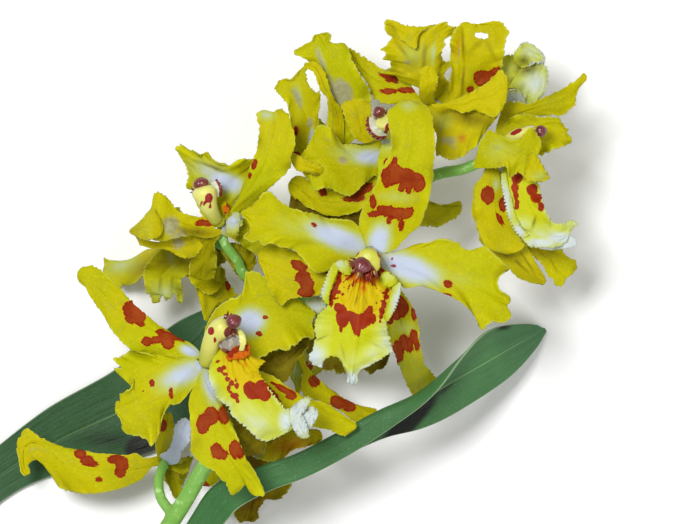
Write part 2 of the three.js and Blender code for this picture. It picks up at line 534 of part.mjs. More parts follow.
// Bloom k is behind the lip of bloom a.
addBloom("k", {
  hub: [75, 44.8, 22],
  tepals: [
    // right lateral sepal, blotched
    [[[77, 38.5, 20.5, 4, 3.5], [81.5, 33, 18.5, 4.5, 4], [87.5, 29, 16, 4.5, 3.5], [93, 28, 14, 3.5, 3],
      [97, 28.8, 12.5, 2, 2]], { cells: LONG, wave: 0.4 }],
    // right petal, in the shade
    [[[80, 43.5, 21, 4, 4], [86, 41.5, 20.5, 5.6, 5], [92, 39.5, 19.5, 5, 4.5], [97, 38, 18, 3, 3]],
      { cells: SMALL, wave: 0.7, notch: 0.1, lobes: 3 }],
    // lower sepal, pale green
    [[[74, 39.5, 19, 3, 3], [73.5, 35, 16.5, 3.4, 3.4], [73, 31, 14, 2.6, 2.6]],
      { cells: SMALL, wave: 0.4 }],
    // upper petal, whitish
    [[[78, 49.5, 21, 3.4, 3.4], [80, 54, 20, 4, 4], [81, 58, 18.5, 3, 3]], { cells: SMALL, wave: 0.5 }],
    // left sepal, in the shade
    [[[71, 42, 20, 3, 3], [67.5, 39, 18.5, 3.8, 3.8], [65, 36.5, 17, 3, 3]], { cells: SMALL, wave: 0.4 }],
  ],
  lip: [[[75.8, 43.8, 20, 2.4, 2.4], [78, 41.5, 14.5, 4.2, 4.2], [79.8, 39.8, 10.5, 4.4, 4.4],
    [81, 38.8, 8, 2.4, 2.4]],
    { cells: HIDDEN_LIP, wave: 0.4 }],
  column: [[74.2, 45.6, 20.4, 2], [72.8, 46.8, 17.4, 2.1], [71.4, 48, 15, 2.1], [70.6, 48.7, 14, 1.8]],
  cap: [70.1, 49.1, 13.3],
  capRadii: [1.7, 1.5, 1.3],
});

// Bloom m turns its back, with three narrow tepals standing up and two hanging to the surface.
addBloom("m", {
  hub: [83, 93.5, 28],
  tepals: [
    // tall sepal
    [[[85, 97, 29, 3, 3], [86.3, 103.5, 31, 5, 5], [85, 111, 33, 5.4, 5.4], [82.3, 117.3, 34, 5, 5],
      [80.5, 122, 33.5, 2.4, 2.4]], { cells: SEPAL, wave: 0.5 }],
    // strap-like petal
    [[[82.5, 101, 31.2, 2.4, 2.4], [79.8, 109, 34.6, 2.6, 2.6], [76.3, 115.3, 35.6, 2.6, 2.6],
      [73.8, 118, 35, 2, 2]],
      { cells: SMALL, wave: 0.3 }],
    // left petal
    [[[79.5, 94.5, 28.2, 3, 3], [77.5, 99.8, 29, 4, 4], [75, 105.5, 30, 4, 4], [72.5, 109, 30, 4, 4],
      [70.3, 110.2, 29.5, 3, 3]], { cells: SEPAL, wave: 0.6 }],
    // lower sepals
    [[[82, 88, 22, 2.6, 2.6], [81, 82.5, 14, 3.4, 3.4], [80, 78, 6.5, 3.2, 3.2],
      [79.5, 75.5, 1.2, 2, 2]], { cells: SMALL }],
    [[[88, 92.5, 22, 2.6, 2.6], [92, 92.5, 14, 3.4, 3.4], [95, 93, 6.5, 3.2, 3.2],
      [96.8, 93.4, 1.2, 2, 2]], { cells: SMALL }],
  ],
  lip: [[[82, 95, 26, 2.4, 2.4], [79.6, 98.4, 21, 4.4, 4.4], [77.8, 101.4, 16, 4.8, 4.8],
    [76.8, 103.4, 12.4, 3, 3]],
    { cells: HIDDEN_LIP, wave: 0.5 }],
  column: [[83.6, 94.8, 26.4, 2], [85, 96.8, 23, 2.1], [86.4, 99, 20, 2.1], [87.2, 100.4, 18.6, 1.8]],
  cap: [87.6, 101.1, 17.9],
  capRadii: [1.7, 1.5, 1.3],
});

// The flower spike, from its cut foot to its tip, which becomes the stalk of bloom e
const SPIKE = [
  [-10, -54, 2.25, SPIKE_RADIUS], [5, -44, 5, SPIKE_RADIUS], [25, -24, 14, SPIKE_RADIUS],
    [42.5, 0, 24, SPIKE_RADIUS],
  [51.3, 14.8, 28, 2.15], [63.5, 35.5, 30, 2.1], [75.8, 56, 30, 2.05], [85, 67.5, 28.5, 2],
  [92.5, 77.3, 27.5, 1.9],
  [100, 82.5, 28.5, 1.7], [108.8, 87.3, 31.5, 1.55], [115.5, 88.7, 33.2, 1.5],
  [120.7, 90.7, 34.6, STALK_RADIUS],
];

// Each stalk starts inside the spike and ends just behind the hub that it carries.
const STALKS = [
  [[80, 63, 29], [86, 66, 36], [91, 67.6, 44], [92.6, 67.9, 47.2]],
  [[68.3, 43.5, 30], [60, 42, 35], [54, 41, 41], [52.2, 40.7, 43.3]],
  [[75, 54.5, 30], [61.8, 61.8, 31.5], [59.5, 65.5, 32.5], [56.3, 69.8, 34], [55.3, 72.8, 35.5]],
  [[98, 81, 28.2], [98.4, 86, 27.6], [98, 91, 29.8], [97.4, 94.5, 33.6]],
  [[104, 84.8, 30.1], [105.2, 91, 28.2], [106.8, 98, 27.4], [107.8, 102.4, 28.3]],
  [[90, 74.5, 27.8], [90.5, 81, 25.5], [88, 88, 25.6], [85.6, 92.2, 26.9]],
  [[43.5, 1.5, 24.4], [40, 6, 22], [39.4, 11, 19.5], [40.7, 14.6, 16.7]],
  [[57.6, 25.5, 29.1], [58.3, 22.5, 20], [58.1, 20.4, 12.9]],
  [[74, 53, 30], [64, 64, 28.6], [57, 69.5, 28.2], [50, 71.5, 26.5], [46.4, 71.3, 24.1]],
  [[72.5, 50.5, 29.8], [74.2, 47.2, 26.5], [74.8, 45.4, 24.8]],
];

let spike = rod(SPIKE, 8, 13);
for (const stalk of STALKS) {
  spike = spike.add(rod(stalk.map((point) => [...point, STALK_RADIUS]), 6, 4));
}
for (const room of rooms) {
  spike = spike.subtract(room);
}
addPiece("spike_stem", "spike", largest(spike));

// The leaves clasp the foot of the spike, and are cut back to leave a little air round it.
const footRoom = rod(SPIKE.slice(0, 5), 8, 6, CLEARANCE);

// The back leaf lies on the surface, with a flat stretch under its middle.
const LEAF_LAY = LEAF_THICKNESS / 2 - FLOOR_TRIM;
const BACK_LEAF = [
  [-10.5, -53, 2.4, 1.2, 1.2], [-19.5, -35, 3.2, 5, 5], [-21.5, -16, 2, 6.4, 6.4],
    [-13, 1.5, 1, 6.2, 6.2],
  [0, 12.5, LEAF_LAY, 6, 6], [15, 21, LEAF_LAY, 8.5, 8.5], [31.8, 29, LEAF_LAY, 9.8, 9.8],
  [41, 37, 1.6, 9, 9], [49.5, 46.5, 3.2, 6.6, 6.6], [55.5, 54.5, 4.4, 1.2, 1.2],
];
const backForm = { thickness: LEAF_THICKNESS, cells: [14, 4], cup: 0.12, round: 0 };
const backLeaf = blade(BACK_LEAF, backForm);
addPiece("leaf_back", "leaf", largest(backLeaf.subtract(footRoom).trimByPlane([0, 0, 1], 0)));

// The front leaf is folded along its midrib, opens flat towards its tip and ends on the surface.
// A row is x, y, z, width of the near half, width of the far half, tilt of the far half and curl of the
// near half in degrees, and the share of the near half that curls.
const FRONT_LEAF = [
  [-8.5, -53.5, 2.6, 1.2, 1.2, 0, 20, 0.9], [10, -47.5, 5, 5, 5, 20, 90, 0.6],
    [28, -30, 11, 6, 5.5, 30, 120, 0.4],
  [40.5, -12, 18, 7, 6, 35, 130, 0.3], [48, 1, 23, 9, 6.5, 35, 130, 0.25],
  [54, 9, 26, 10, 6.5, 35, 135, 0.25],
  [64.5, 13.5, 29.5, 7.8, 6, 35, 138, 0.25], [74.3, 17, 31, 7.4, 6, 35, 140, 0.25],
  [84.3, 22, 31.5, 7.6, 6.2, 32, 145, 0.3], [94.5, 27, 31, 9, 6.6, 28, 150, 0.5],
  [104.5, 30.5, 28, 10, 7, 22, 150, 0.85], [114, 35.8, 21, 8.6, 7.4, 15, 80, 0.9],
  [125, 42, 11, 7.2, 6.4, 12, 20, 0.9], [132.5, 46.2, 4.4, 4, 3.6, 8, 5, 0.9],
  [136.8, 48.6, 1.2, 0.8, 0.8, 0, 0, 0.9],
];

const LEAST_CURL = 0.02; // radians, so that an uncurled row is a very wide arc

function foldedLeaf(rows, lengthCells, widthCells, thickness) {
  const sheet = (i, j) => {
    const s = (2 * j) / widthCells - 1;
    const { here, middle, left, top } = stance(rows, i / lengthCells);
    const [, , , near, far, tiltDegrees, curlDegrees, span] = here;
    const tilt = THREE.MathUtils.degToRad(tiltDegrees);
    const curl = THREE.MathUtils.degToRad(curlDegrees);
    let sideways = s * far * Math.cos(tilt);
    let upward = s * far * Math.sin(tilt);
    if (s > 0) {
      // the near half turns by its curl over its curled share, and goes on straight from there
      const turned = Math.min(s, span) / span;
      const radius = (near * span) / Math.max(curl, LEAST_CURL);
      const heading = tilt + curl * turned;
      const rest = near * Math.max(0, s - span);
      sideways = radius * (Math.sin(heading) - Math.sin(tilt)) + rest * Math.cos(heading);
      upward = radius * (Math.cos(tilt) - Math.cos(heading)) + rest * Math.sin(heading);
    }
    return middle.addScaledVector(left, sideways).addScaledVector(top, upward);
  };
  return solidFromSheets(sheet, lengthCells, widthCells, thickness);
}

const frontLeaf = foldedLeaf(FRONT_LEAF, 16, 8, FOLD_THICKNESS);
addPiece("leaf_front", "leaf", largest(frontLeaf.subtract(footRoom)));

export default spray;
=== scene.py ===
import bpy
import math
import numpy as np
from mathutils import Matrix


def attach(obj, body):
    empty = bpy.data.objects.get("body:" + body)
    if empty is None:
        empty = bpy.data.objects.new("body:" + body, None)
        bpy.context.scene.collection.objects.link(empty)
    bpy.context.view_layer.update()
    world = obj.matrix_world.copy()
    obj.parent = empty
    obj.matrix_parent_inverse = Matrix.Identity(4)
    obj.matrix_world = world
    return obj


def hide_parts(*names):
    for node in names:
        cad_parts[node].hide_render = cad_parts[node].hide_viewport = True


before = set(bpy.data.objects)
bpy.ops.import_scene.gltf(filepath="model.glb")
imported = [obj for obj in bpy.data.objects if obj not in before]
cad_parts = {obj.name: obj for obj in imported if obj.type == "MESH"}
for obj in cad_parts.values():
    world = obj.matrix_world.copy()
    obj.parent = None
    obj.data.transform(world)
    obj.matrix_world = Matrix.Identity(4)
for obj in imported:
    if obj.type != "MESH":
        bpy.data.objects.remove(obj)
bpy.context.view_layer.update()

# The view
# The spray lies on a pale table and is seen from straight above through a long lens. Places are read
# off the reference picture, 700 x 524 pixels, and one pixel is a quarter of a millimetre on the blooms.
PICTURE_WIDTH = 700
PICTURE_HEIGHT = 524
PIXEL_MM = 0.25
PIXEL = PIXEL_MM / 1000
BLOOM_HEIGHT = 0.040
CAMERA_HEIGHT = 3.0
SENSOR = 36
# the plan of the spray is in millimetres from the picture's lower left corner
PLAN_CENTRE = np.array([59.6, 34.5, 0])
AIM = (0.5 * PIXEL_MM * np.array([PICTURE_WIDTH, PICTURE_HEIGHT]) - PLAN_CENTRE[:2]) / 1000

bpy.ops.object.select_all(action="DESELECT")
bpy.ops.object.camera_add(location=(*AIM, CAMERA_HEIGHT), rotation=(0, 0, 0))
camera = bpy.context.object
camera.name = "camera"
camera.data.sensor_width = SENSOR
camera.data.lens = SENSOR * (CAMERA_HEIGHT - BLOOM_HEIGHT) / (PICTURE_WIDTH * PIXEL)
bpy.context.scene.camera = camera
bpy.context.scene.view_settings.view_transform = "Standard"


def from_picture(spots, heights):
    """Places in metres of picture points (across, down) at heights in millimetres."""
    spots = np.asarray(spots, float)
    heights = np.asarray(heights, float) / 1000
    spread = (CAMERA_HEIGHT - heights) / (CAMERA_HEIGHT - BLOOM_HEIGHT) * PIXEL
    across = AIM[0] + (spots[..., 0] - PICTURE_WIDTH / 2) * spread
    up = AIM[1] + (PICTURE_HEIGHT / 2 - spots[..., 1]) * spread
    return np.stack([across, up, heights], -1)


def to_picture(points):
    """Picture points of places in metres."""
    points = np.asarray(points, float)
    spread = (CAMERA_HEIGHT - points[..., 2]) / (CAMERA_HEIGHT - BLOOM_HEIGHT) * PIXEL
    across = PICTURE_WIDTH / 2 + (points[..., 0] - AIM[0]) / spread
    down = PICTURE_HEIGHT / 2 - (points[..., 1] - AIM[1]) / spread
    return np.stack([across, down], -1)


def plain(red, green, blue):
    """A colour of the picture, 0 to 255, as the light values that a shader takes."""
    shares = [channel / 255 for channel in (red, green, blue)]
    light = [c / 12.92 if c <= 0.04045 else ((c + 0.055) / 1.055) ** 2.4 for c in shares]
    return (*light, 1.0)


class Value:
    """A socket of a material, so that shader maths reads as an expression."""

    tree = None

    def __init__(self, socket):
        self.socket = socket

    @classmethod
    def node(cls, kind, settings, values=(), output=0):
        made = cls.tree.nodes.new("ShaderNode" + kind)
        for name, value in settings.items():
            setattr(made, name, value)
        for name, value in values.items() if isinstance(values, dict) else enumerate(values):
            if isinstance(value, Value):
                cls.tree.links.new(value.socket, made.inputs[name])
            else:
                made.inputs[name].default_value = value
        return cls(made.outputs[output])

    def maths(self, operation, *others):
        return Value.node("Math", {"operation": operation}, [self, *others])

    def __add__(self, other):
        return self.maths("ADD", other)

    __radd__ = __add__

    def __sub__(self, other):
        return self.maths("SUBTRACT", other)

    def __rsub__(self, other):
        return (self * -1) + other

    def __mul__(self, other):
        return self.maths("MULTIPLY", other)

    __rmul__ = __mul__

    def step(self, low, high):
        """0 below low, 1 above high, and a smooth rise between them."""
        settings = {"interpolation_type": "SMOOTHSTEP"}
        return Value.node("MapRange", settings, {"Value": self, "From Min": low, "From Max": high})

    def tint(self, first, second):
        """The first colour where this is 0 and the second where it is 1."""
        return Value.node("Mix", {"data_type": "RGBA"}, {0: self, 6: first, 7: second}, output=2)


def layered(colour, *layers):
    """A colour under layers, each of a mask and a colour of the picture that shows where the mask is 1."""
    for mask, layer in layers:
        colour = mask.tint(colour, plain(*layer) if isinstance(layer, tuple) else layer)
    return colour


def attribute(name):
    return Value.node("Attribute", {"attribute_name": name}, output="Fac")


def noise(where, scale, detail=3.0, roughness=0.55):
    values = {"Vector": where, "Scale": scale, "Detail": detail, "Roughness": roughness}
    return Value.node("TexNoise", {}, values, output="Fac")


def stretched(where, size):
    return Value.node("Mapping", {}, {"Vector": where, "Scale": size})


def on_object():
    return Value.node("TexCoord", {}, output="Object")


def on_surface():
    return Value.node("UVMap", {"uv_map": "UVMap"})


def start_material(name):
    material = bpy.data.materials.new(name)
    material.use_nodes = True
    material.node_tree.nodes.clear()
    Value.tree = material.node_tree
    return material


def finish_material(colour, roughness, relief, depth, **constants):
    bump = Value.node("Bump", {}, {"Height": relief, "Distance": depth, "Strength": 1.0})
    values = {"Base Color": colour, "Roughness": roughness, "Normal": bump}
    values.update({name.replace("_", " "): value for name, value in constants.items()})
    shader = Value.node("BsdfPrincipled", {}, values)
    output = Value.tree.nodes.new("ShaderNodeOutputMaterial")
    Value.tree.links.new(shader.socket, output.inputs["Surface"])


bpy.ops.mesh.primitive_plane_add(size=6, location=(0, 0, -0.0002))
floor = bpy.context.object
floor.name = "floor"
floor_finish = start_material("floor_matte")
paper = noise(on_object(), 40.0)
finish_material(paper.tint(plain(246, 246, 246), plain(250, 250, 250)), 0.9, paper, 0.0002)
floor.data.materials.append(floor_finish)

SURROUND_STRENGTH = 0.32
world = bpy.data.worlds.new("studio")
world.use_nodes = True
world.node_tree.nodes["Background"].inputs["Color"].default_value = (1, 1, 1, 1)
world.node_tree.nodes["Background"].inputs["Strength"].default_value = SURROUND_STRENGTH
bpy.context.scene.world = world
# place and size in metres, and watts
LAMPS = {"key_light": ((-0.75, 0.65, 2.65), 0.8, 68.0), "fill_light": ((1.2, -0.7, 1.5), 1.6, 14.0)}
for name, (place, size, watts) in LAMPS.items():
    bpy.ops.object.light_add(type="AREA", location=place)
    lamp = bpy.context.object
    lamp.name = name
    lamp.data.size = size
    lamp.data.energy = watts
    lamp.rotation_euler = lamp.location.to_track_quat("Z", "Y").to_euler()

# The flower spike
# One living green stem with a waxy skin, cut at its foot. Ten short stalks grow out of it, each into the
# back of a bloom, and the stem itself ends in bloom e.
STALK_RADIUS = 1.45
STALK_TAPER = 0.85
SKIN_CELL = 0.00055
# x, y, z and radius in millimetres of the plan
SPIKE = [
    (-10, -54, 2.25, 2.2), (5, -44, 5, 2.2), (25, -24, 14, 2.2), (42.5, 0, 24, 2.2), (51.3, 14.8, 28, 2.15),
    (63.5, 35.5, 30, 2.1), (75.8, 56, 30, 2.05), (85, 67.5, 28.5, 2), (92.5, 77.3, 27.5, 1.9),
    (100, 82.5, 28.5, 1.7), (108.8, 87.3, 31.5, 1.55), (115.5, 88.7, 33.2, 1.5), (120.7, 90.7, 34.6, 1.45),
    (122.6, 91.4, 35.6, 1.3),
]
# x, y and z of the stalks of blooms a, b, c, d, f, m, g, h, j and k
STALKS = [
    [(80, 63, 29), (86, 66, 36), (91, 67.6, 44), (92.6, 67.9, 47.2), (93, 67.6, 48.6)],
    [(68.3, 43.5, 30), (60, 42, 35), (54, 41, 41), (52.2, 40.7, 43.3), (51.5, 40.5, 45.4)],
    [(75, 54.5, 30), (61.8, 61.8, 31.5), (59.5, 65.5, 32.5), (56.3, 69.8, 34), (55.3, 72.8, 35),
     (55.6, 74.2, 35.6)],
    [(98, 81, 28.2), (98.4, 86, 27.6), (98, 91, 29.8), (97.4, 94.5, 33.6), (97, 96, 36)],
    [(104, 84.8, 30.1), (105.2, 91, 28.2), (106.8, 98, 27.4), (107.8, 102.4, 28.3), (109, 104.5, 30)],
    [(90, 74.5, 27.8), (90.5, 81, 25.5), (88, 88, 25.6), (85.6, 92.2, 26.9), (83, 93.5, 28)],
    [(43.5, 1.5, 24.4), (40, 6, 22), (39.4, 11, 19.5), (40.7, 14.6, 16.7), (41.3, 15.5, 12.6)],
    [(57.6, 25.5, 29.1), (58.3, 22.5, 20), (58.1, 20.4, 12.9), (58, 19.8, 9.4)],
    [(75, 54, 29.6), (62.4, 61, 28.4), (59.6, 65, 28.2), (56, 69.2, 27.6), (50, 71.6, 26),
     (46.4, 71.3, 24.1), (44.5, 71, 20.5)],
    [(72.5, 50.5, 29.8), (74.2, 47.2, 26.5), (74.8, 45.4, 24.8), (75, 44.8, 20.5)],
]


def along(rows, shares):
    """Rows at the given shares of the way along a list of rows, on a smooth curve through them."""
    width = max(len(row) for row in rows)
    rows = np.array([list(row) + [0.0] * (width - len(row)) for row in rows], float)
    ends = np.vstack([2 * rows[0] - rows[1], rows, 2 * rows[-1] - rows[-2]])
    place = np.clip(np.asarray(shares, float), 0, 1) * (len(rows) - 1)
    first = np.minimum(place.astype(int), len(rows) - 2)
    f = (place - first)[..., None]
    a, b, c, d = (ends[first + k] for k in range(4))
    square, cube = 2 * a - 5 * b + 4 * c - d, 3 * b - a - 3 * c + d
    return 0.5 * (2 * b + (c - a) * f + square * f**2 + cube * f**3)


def directions(rows, shares):
    """Unit vectors ahead, to the left and up of a curve."""
    shares = np.asarray(shares)
    ahead = along(rows, shares + 0.01)[..., :3] - along(rows, shares - 0.01)[..., :3]
    ahead /= np.linalg.norm(ahead, axis=-1, keepdims=True)
    left = np.cross([0.0, 0.0, 1.0], ahead)
    left /= np.linalg.norm(left, axis=-1, keepdims=True)
    return ahead, left, np.cross(ahead, left)


def sheet_mesh(name, points):
    """A grid primitive whose points are set, row by row, with a UV map that follows it."""
    rows, columns = points.shape[:2]
    bpy.ops.object.select_all(action="DESELECT")
    bpy.ops.mesh.primitive_grid_add(x_subdivisions=columns - 1, y_subdivisions=rows - 1, size=1)
    piece = bpy.context.object
    piece.name = name
    piece.data.name = name
    piece.data.vertices.foreach_set("co", points.reshape(-1).astype(np.float32))
    piece.data.update()
    return piece


def store(piece, name, numbers):
    """Keeps a number for each vertex, or one number for all, where a material can read it."""
    layer = piece.data.attributes.get(name) or piece.data.attributes.new(name, "FLOAT", "POINT")
    if np.ndim(numbers) == 0:
        numbers = np.full(len(piece.data.vertices), numbers)
    layer.data.foreach_set("value", np.asarray(numbers, np.float32).reshape(-1))


def apply_modifier(piece, kind, **settings):
    modifier = piece.modifiers.new(kind.lower(), kind)
    for name, value in settings.items():
        setattr(modifier, name, value)
    bpy.context.view_layer.objects.active = piece
    bpy.ops.object.modifier_apply(modifier=modifier.name)


def select_only(*pieces):
    bpy.ops.object.select_all(action="DESELECT")
    for piece in pieces:
        piece.select_set(True)
    bpy.context.view_layer.objects.active = pieces[0]


def joined(name, pieces):
    select_only(*pieces)
    if len(pieces) > 1:
        bpy.ops.object.join()
    piece = bpy.context.object
    piece.name = name
    piece.data.name = name
    return piece


def hand_over(piece, material, node):
    """Gives a finished piece its material, and lets it stand in for its node of the solid model."""
    piece.data.materials.clear()
    piece.data.materials.append(material)
    select_only(piece)
    bpy.ops.object.shade_smooth()
    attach(piece, "root")
    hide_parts(node)


def close_tube(piece):
    """Joins the two long edges of a wrapped grid and fills its ends."""
    select_only(piece)
    bpy.ops.object.mode_set(mode="EDIT")
    bpy.ops.mesh.select_all(action="SELECT")
    bpy.ops.mesh.remove_doubles(threshold=0.000005)
    bpy.ops.mesh.select_all(action="DESELECT")
    bpy.ops.mesh.select_non_manifold()
    bpy.ops.mesh.edge_face_add()
    bpy.ops.mesh.select_all(action="SELECT")
    bpy.ops.mesh.normals_make_consistent(inside=False)
    bpy.ops.object.mode_set(mode="OBJECT")


def round_points(rows, shares, radius, sides):
    """Points in metres in rings round a curve. The radius may change round each ring."""
    _, left, top = directions(rows, shares)
    angles = np.linspace(0, 2 * math.pi, sides + 1)
    ring = left[:, None] * np.cos(angles)[None, :, None] + top[:, None] * np.sin(angles)[None, :, None]
    centre = along(rows, shares)[:, :3] - PLAN_CENTRE
    return (centre[:, None] + ring * radius[..., None]) / 1000


def tube(name, rows, sides=20, steps=60):
    """A closed round stem along rows of x, y, z and radius, made by filling a wrapped grid's ends."""
    shares = np.linspace(0, 1, steps + 1)
    piece = sheet_mesh(name, round_points(rows, shares, along(rows, shares)[:, 3:4], sides))
    close_tube(piece)
    return piece


stems = [tube("spike", SPIKE, 28, 180)]
for number, stalk in enumerate(STALKS):
    radii = np.linspace(STALK_RADIUS, STALK_TAPER * STALK_RADIUS, len(stalk))
    rows = [(*point, radius) for point, radius in zip(stalk, radii)]
    stems.append(tube(f"stalk_{number}", rows))
spike = joined("spike_with_stalks", stems)
apply_modifier(spike, "REMESH", mode="VOXEL", voxel_size=SKIN_CELL)
apply_modifier(spike, "SMOOTH", factor=0.6, iterations=6)
spike_finish = start_material("waxy_stem")
place = on_object()
streaks = noise(place, 420.0, 4.0)
cloud = noise(place, 60.0, 3.0)
green = (cloud * 1.2 - 0.1).tint(plain(92, 150, 46), plain(134, 186, 84))
green = streaks.step(0.55, 0.8).tint(green, plain(186, 226, 150))
finish_material(green, 0.42, streaks, 0.0003, Subsurface_Weight=0.08, Subsurface_Scale=0.002)
hand_over(spike, spike_finish, "spike_stem")

# The two leaves
# Strap leaves, thin and leathery, that clasp the foot of the spike. The back one lies flat on the
# surface. The front one is folded along its midrib, opens towards its tip, and has a pale rim and midrib.
LEAF_THICKNESS = 0.55
# how far a leaf stays above the surface
CLEAR = 0.02
# x, y, z and the widths of the two halves
BACK_LEAF = [
    (-10.5, -53, 2.4, 1.2, 1.2), (-19.5, -35, 3.2, 5, 5), (-21.5, -16, 2, 6.4, 6.4), (-13, 1.5, 1, 6.2, 6.2),
    (0, 12.5, 0.5, 6, 6), (15, 21, 0.5, 8.5, 8.5), (31.8, 29, 0.5, 9.8, 13), (41, 37, 1.6, 9, 12.2),
    (49.5, 46.5, 3.2, 6.6, 6.6), (55.5, 54.5, 4.4, 1.2, 1.2),
]
# x, y, z, width of the near and of the far half, tilt of the far half and curl of the near half in
# degrees, and the share of the near half that curls
FRONT_LEAF = [
    (-8.5, -53.5, 2.6, 1.2, 1.2, 0, 20, 0.9), (10, -47.5, 5, 5, 5, 20, 90, 0.6),
    (28, -30, 11, 6, 5.5, 30, 120, 0.4), (40.5, -12, 18, 7, 6, 35, 130, 0.3),
    (48, 1, 23, 9, 6.5, 35, 130, 0.25), (54, 9, 26, 10, 6.5, 35, 135, 0.25),
    (64.5, 13.5, 29.5, 7.8, 6, 35, 138, 0.25), (74.3, 17, 31, 7.4, 6, 35, 140, 0.25),
    (84.3, 22, 31.5, 7.6, 6.2, 32, 145, 0.3), (94.5, 27, 31, 8.2, 6.6, 28, 150, 0.55),
    (104.5, 30.5, 28, 8.2, 7.2, 22, 142, 0.95), (114, 35.8, 21, 8.6, 7.4, 15, 80, 0.9),
    (125, 42, 11, 7.2, 6.4, 12, 20, 0.9), (132.5, 46.2, 4.4, 4, 3.6, 8, 5, 0.9),
    (136.8, 48.6, 1.2, 0.8, 0.8, 0, 0, 0.9),
]


def depth_in(spots, ellipse):
    """1 in the middle of an ellipse of picture points, 0 on its rim: x, y, radii and turn in degrees."""
    x, y, wide, high, turn = (*ellipse, 0)[:5]
    angle = math.radians(turn)
    dx, dy = spots[..., 0] - x, spots[..., 1] - y
    a = (dx * math.cos(angle) + dy * math.sin(angle)) / wide
    b = (dy * math.cos(angle) - dx * math.sin(angle)) / high
    return 1 - np.hypot(a, b)


def soft_field(spots, ellipses):
    """1, or the sixth number, in the middle of an ellipse, and 0 at its rim and outside it."""
    field = np.zeros(spots.shape[:-1])
    for ellipse in ellipses:
        strength = ellipse[5] if len(ellipse) > 5 else 1.0
        field = np.maximum(field, depth_in(spots, ellipse) * strength)
    return field


def leaf(name, rows, sideways, upward, dim=0.0, gutter_shadow=(), shade_and_scorch=()):
    """A leaf whose cross-section is given, in millimetres to the left and up, all along its length.
    The last two arguments are dark ellipses of picture points: the first, on the far half alone, is
    painted shadow in the hollow of the fold, and the second painted shadow where a leaf lies in deep
    shade, and small black scorch patches."""
    shares = np.linspace(0, 1, sideways.shape[0])
    here = along(rows, shares)
    _, left, top = directions(rows, shares)
    points = here[:, None, :3] + left[:, None] * sideways[..., None] + top[:, None] * upward[..., None]
    points -= PLAN_CENTRE
    points[..., 2] = np.maximum(points[..., 2], LEAF_THICKNESS / 2 + CLEAR)
    piece = sheet_mesh(name, points / 1000)
    across = np.linspace(1, -1, sideways.shape[1])[None, :]
    store(piece, "rim", np.broadcast_to(np.abs(across), points.shape[:2]))
    store(piece, "along", np.broadcast_to(shares[:, None], points.shape[:2]))
    picture = to_picture(points / 1000)
    dark = np.maximum(soft_field(picture, gutter_shadow) * (across < 0), soft_field(picture, shade_and_scorch))
    store(piece, "dark", np.clip(dark, 0, 1.2))
    store(piece, "dim", dim)
    apply_modifier(piece, "SOLIDIFY", thickness=LEAF_THICKNESS / 1000, offset=0.0)
    return piece


leaf_finish = start_material("leaf_leathery_green")
place = on_object()
surface = on_surface()
cloud = noise(place, 40.0, 3.0)
grain = noise(place, 1500.0, 2.0)
veins = noise(stretched(surface, (70, 1.6, 1)), 1.0, 5.0, 0.65)
fine = noise(stretched(surface, (220, 5.0, 1)), 1.0, 3.0, 0.6)
edge = attribute("rim").step(0.972, 0.99)
rib = attribute("rim").step(0.035, 0.012) * attribute("along").step(0.3, 0.6) * (1 - attribute("dim"))
green = layered(
    (cloud * 1.6 - 0.3).tint(plain(44, 92, 42), plain(74, 126, 72)),
    (veins.step(0.45, 0.75) * 0.25, (104, 142, 104)),
    (fine.step(0.5, 0.8) * 0.25, (26, 58, 34)),
    (noise(place, 2300.0, 1.0).step(0.66, 0.72) * 0.2, (170, 196, 170)),
    # lighter green towards the tip of each leaf, a painted sheen
    (attribute("along").step(0.8, 1.0) * 0.6, (92, 146, 98)),
    (attribute("dim"), (14, 42, 22)),
    # nearly black: painted shadow in the hollow of the front leaf's fold and where a leaf lies in deep
    # shade, and small black scorch patches
    ((attribute("dark") + (veins - 0.5) * 0.3).step(0.0, 0.9), (5, 14, 3)),
    (edge * (0.45 - attribute("dim") * 0.35), (176, 196, 156)),
    (rib * 0.4, (150, 178, 122)),
)
finish_material(green, grain * 0.15 + 0.36, veins * 0.5 + fine * 0.4 + grain * 0.1, 0.0003,
                Specular_IOR_Level=0.3)

share = np.linspace(0, 1, 161)
across = np.linspace(1, -1, 49)
half = np.where(across[None, :] > 0, along(BACK_LEAF, share)[:, 3:4], along(BACK_LEAF, share)[:, 4:5])
rise = 0.12 * half * across**2 - 0.35 * np.exp(-((across / 0.05) ** 2))
# the dark ellipses on this leaf are painted shadow, where it lies in the shade beneath the long sepal of
# bloom g
back_leaf = leaf("leaf_back_blade", BACK_LEAF, across * half, rise, dim=0.5,
                 shade_and_scorch=[(150, 450, 30, 22, 0, 3), (110, 440, 60, 14, 0, 0.6)])
hand_over(back_leaf, leaf_finish, "leaf_back")

share = np.linspace(0, 1, 201)
across = np.linspace(1, -1, 73)
here = along(FRONT_LEAF, share)
near, far, tilt, curl, span = (here[:, k][:, None] for k in range(3, 8))
tilt, curl = np.radians(tilt), np.radians(curl)
near_share = np.clip(across, 0, 1)[None, :]
turned = np.minimum(near_share, span) / span
radius = near * span / np.maximum(curl, 0.02)
heading = tilt + curl * turned
rest = near * np.maximum(0, near_share - span)
curled = radius * (np.sin(heading) - np.sin(tilt)) + rest * np.cos(heading)
raised = radius * (np.cos(tilt) - np.cos(heading)) + rest * np.sin(heading)
flat = across[None, :] * far
sideways = np.where(across[None, :] > 0, curled, flat * np.cos(tilt))
upward = np.where(across[None, :] > 0, raised, flat * np.sin(tilt))
# the first dark ellipses are painted shadow in the hollow of the fold; the last is a small black scorch
# patch near the tip
front_leaf = leaf("leaf_front_blade", FRONT_LEAF, sideways, upward,
                  gutter_shadow=[(408, 421, 13, 58, 42, 2.0), (455, 368, 9, 40, 33, 1.9)],
                  shade_and_scorch=[(503, 327, 11, 5, -12)])
hand_over(front_leaf, leaf_finish, "leaf_front")

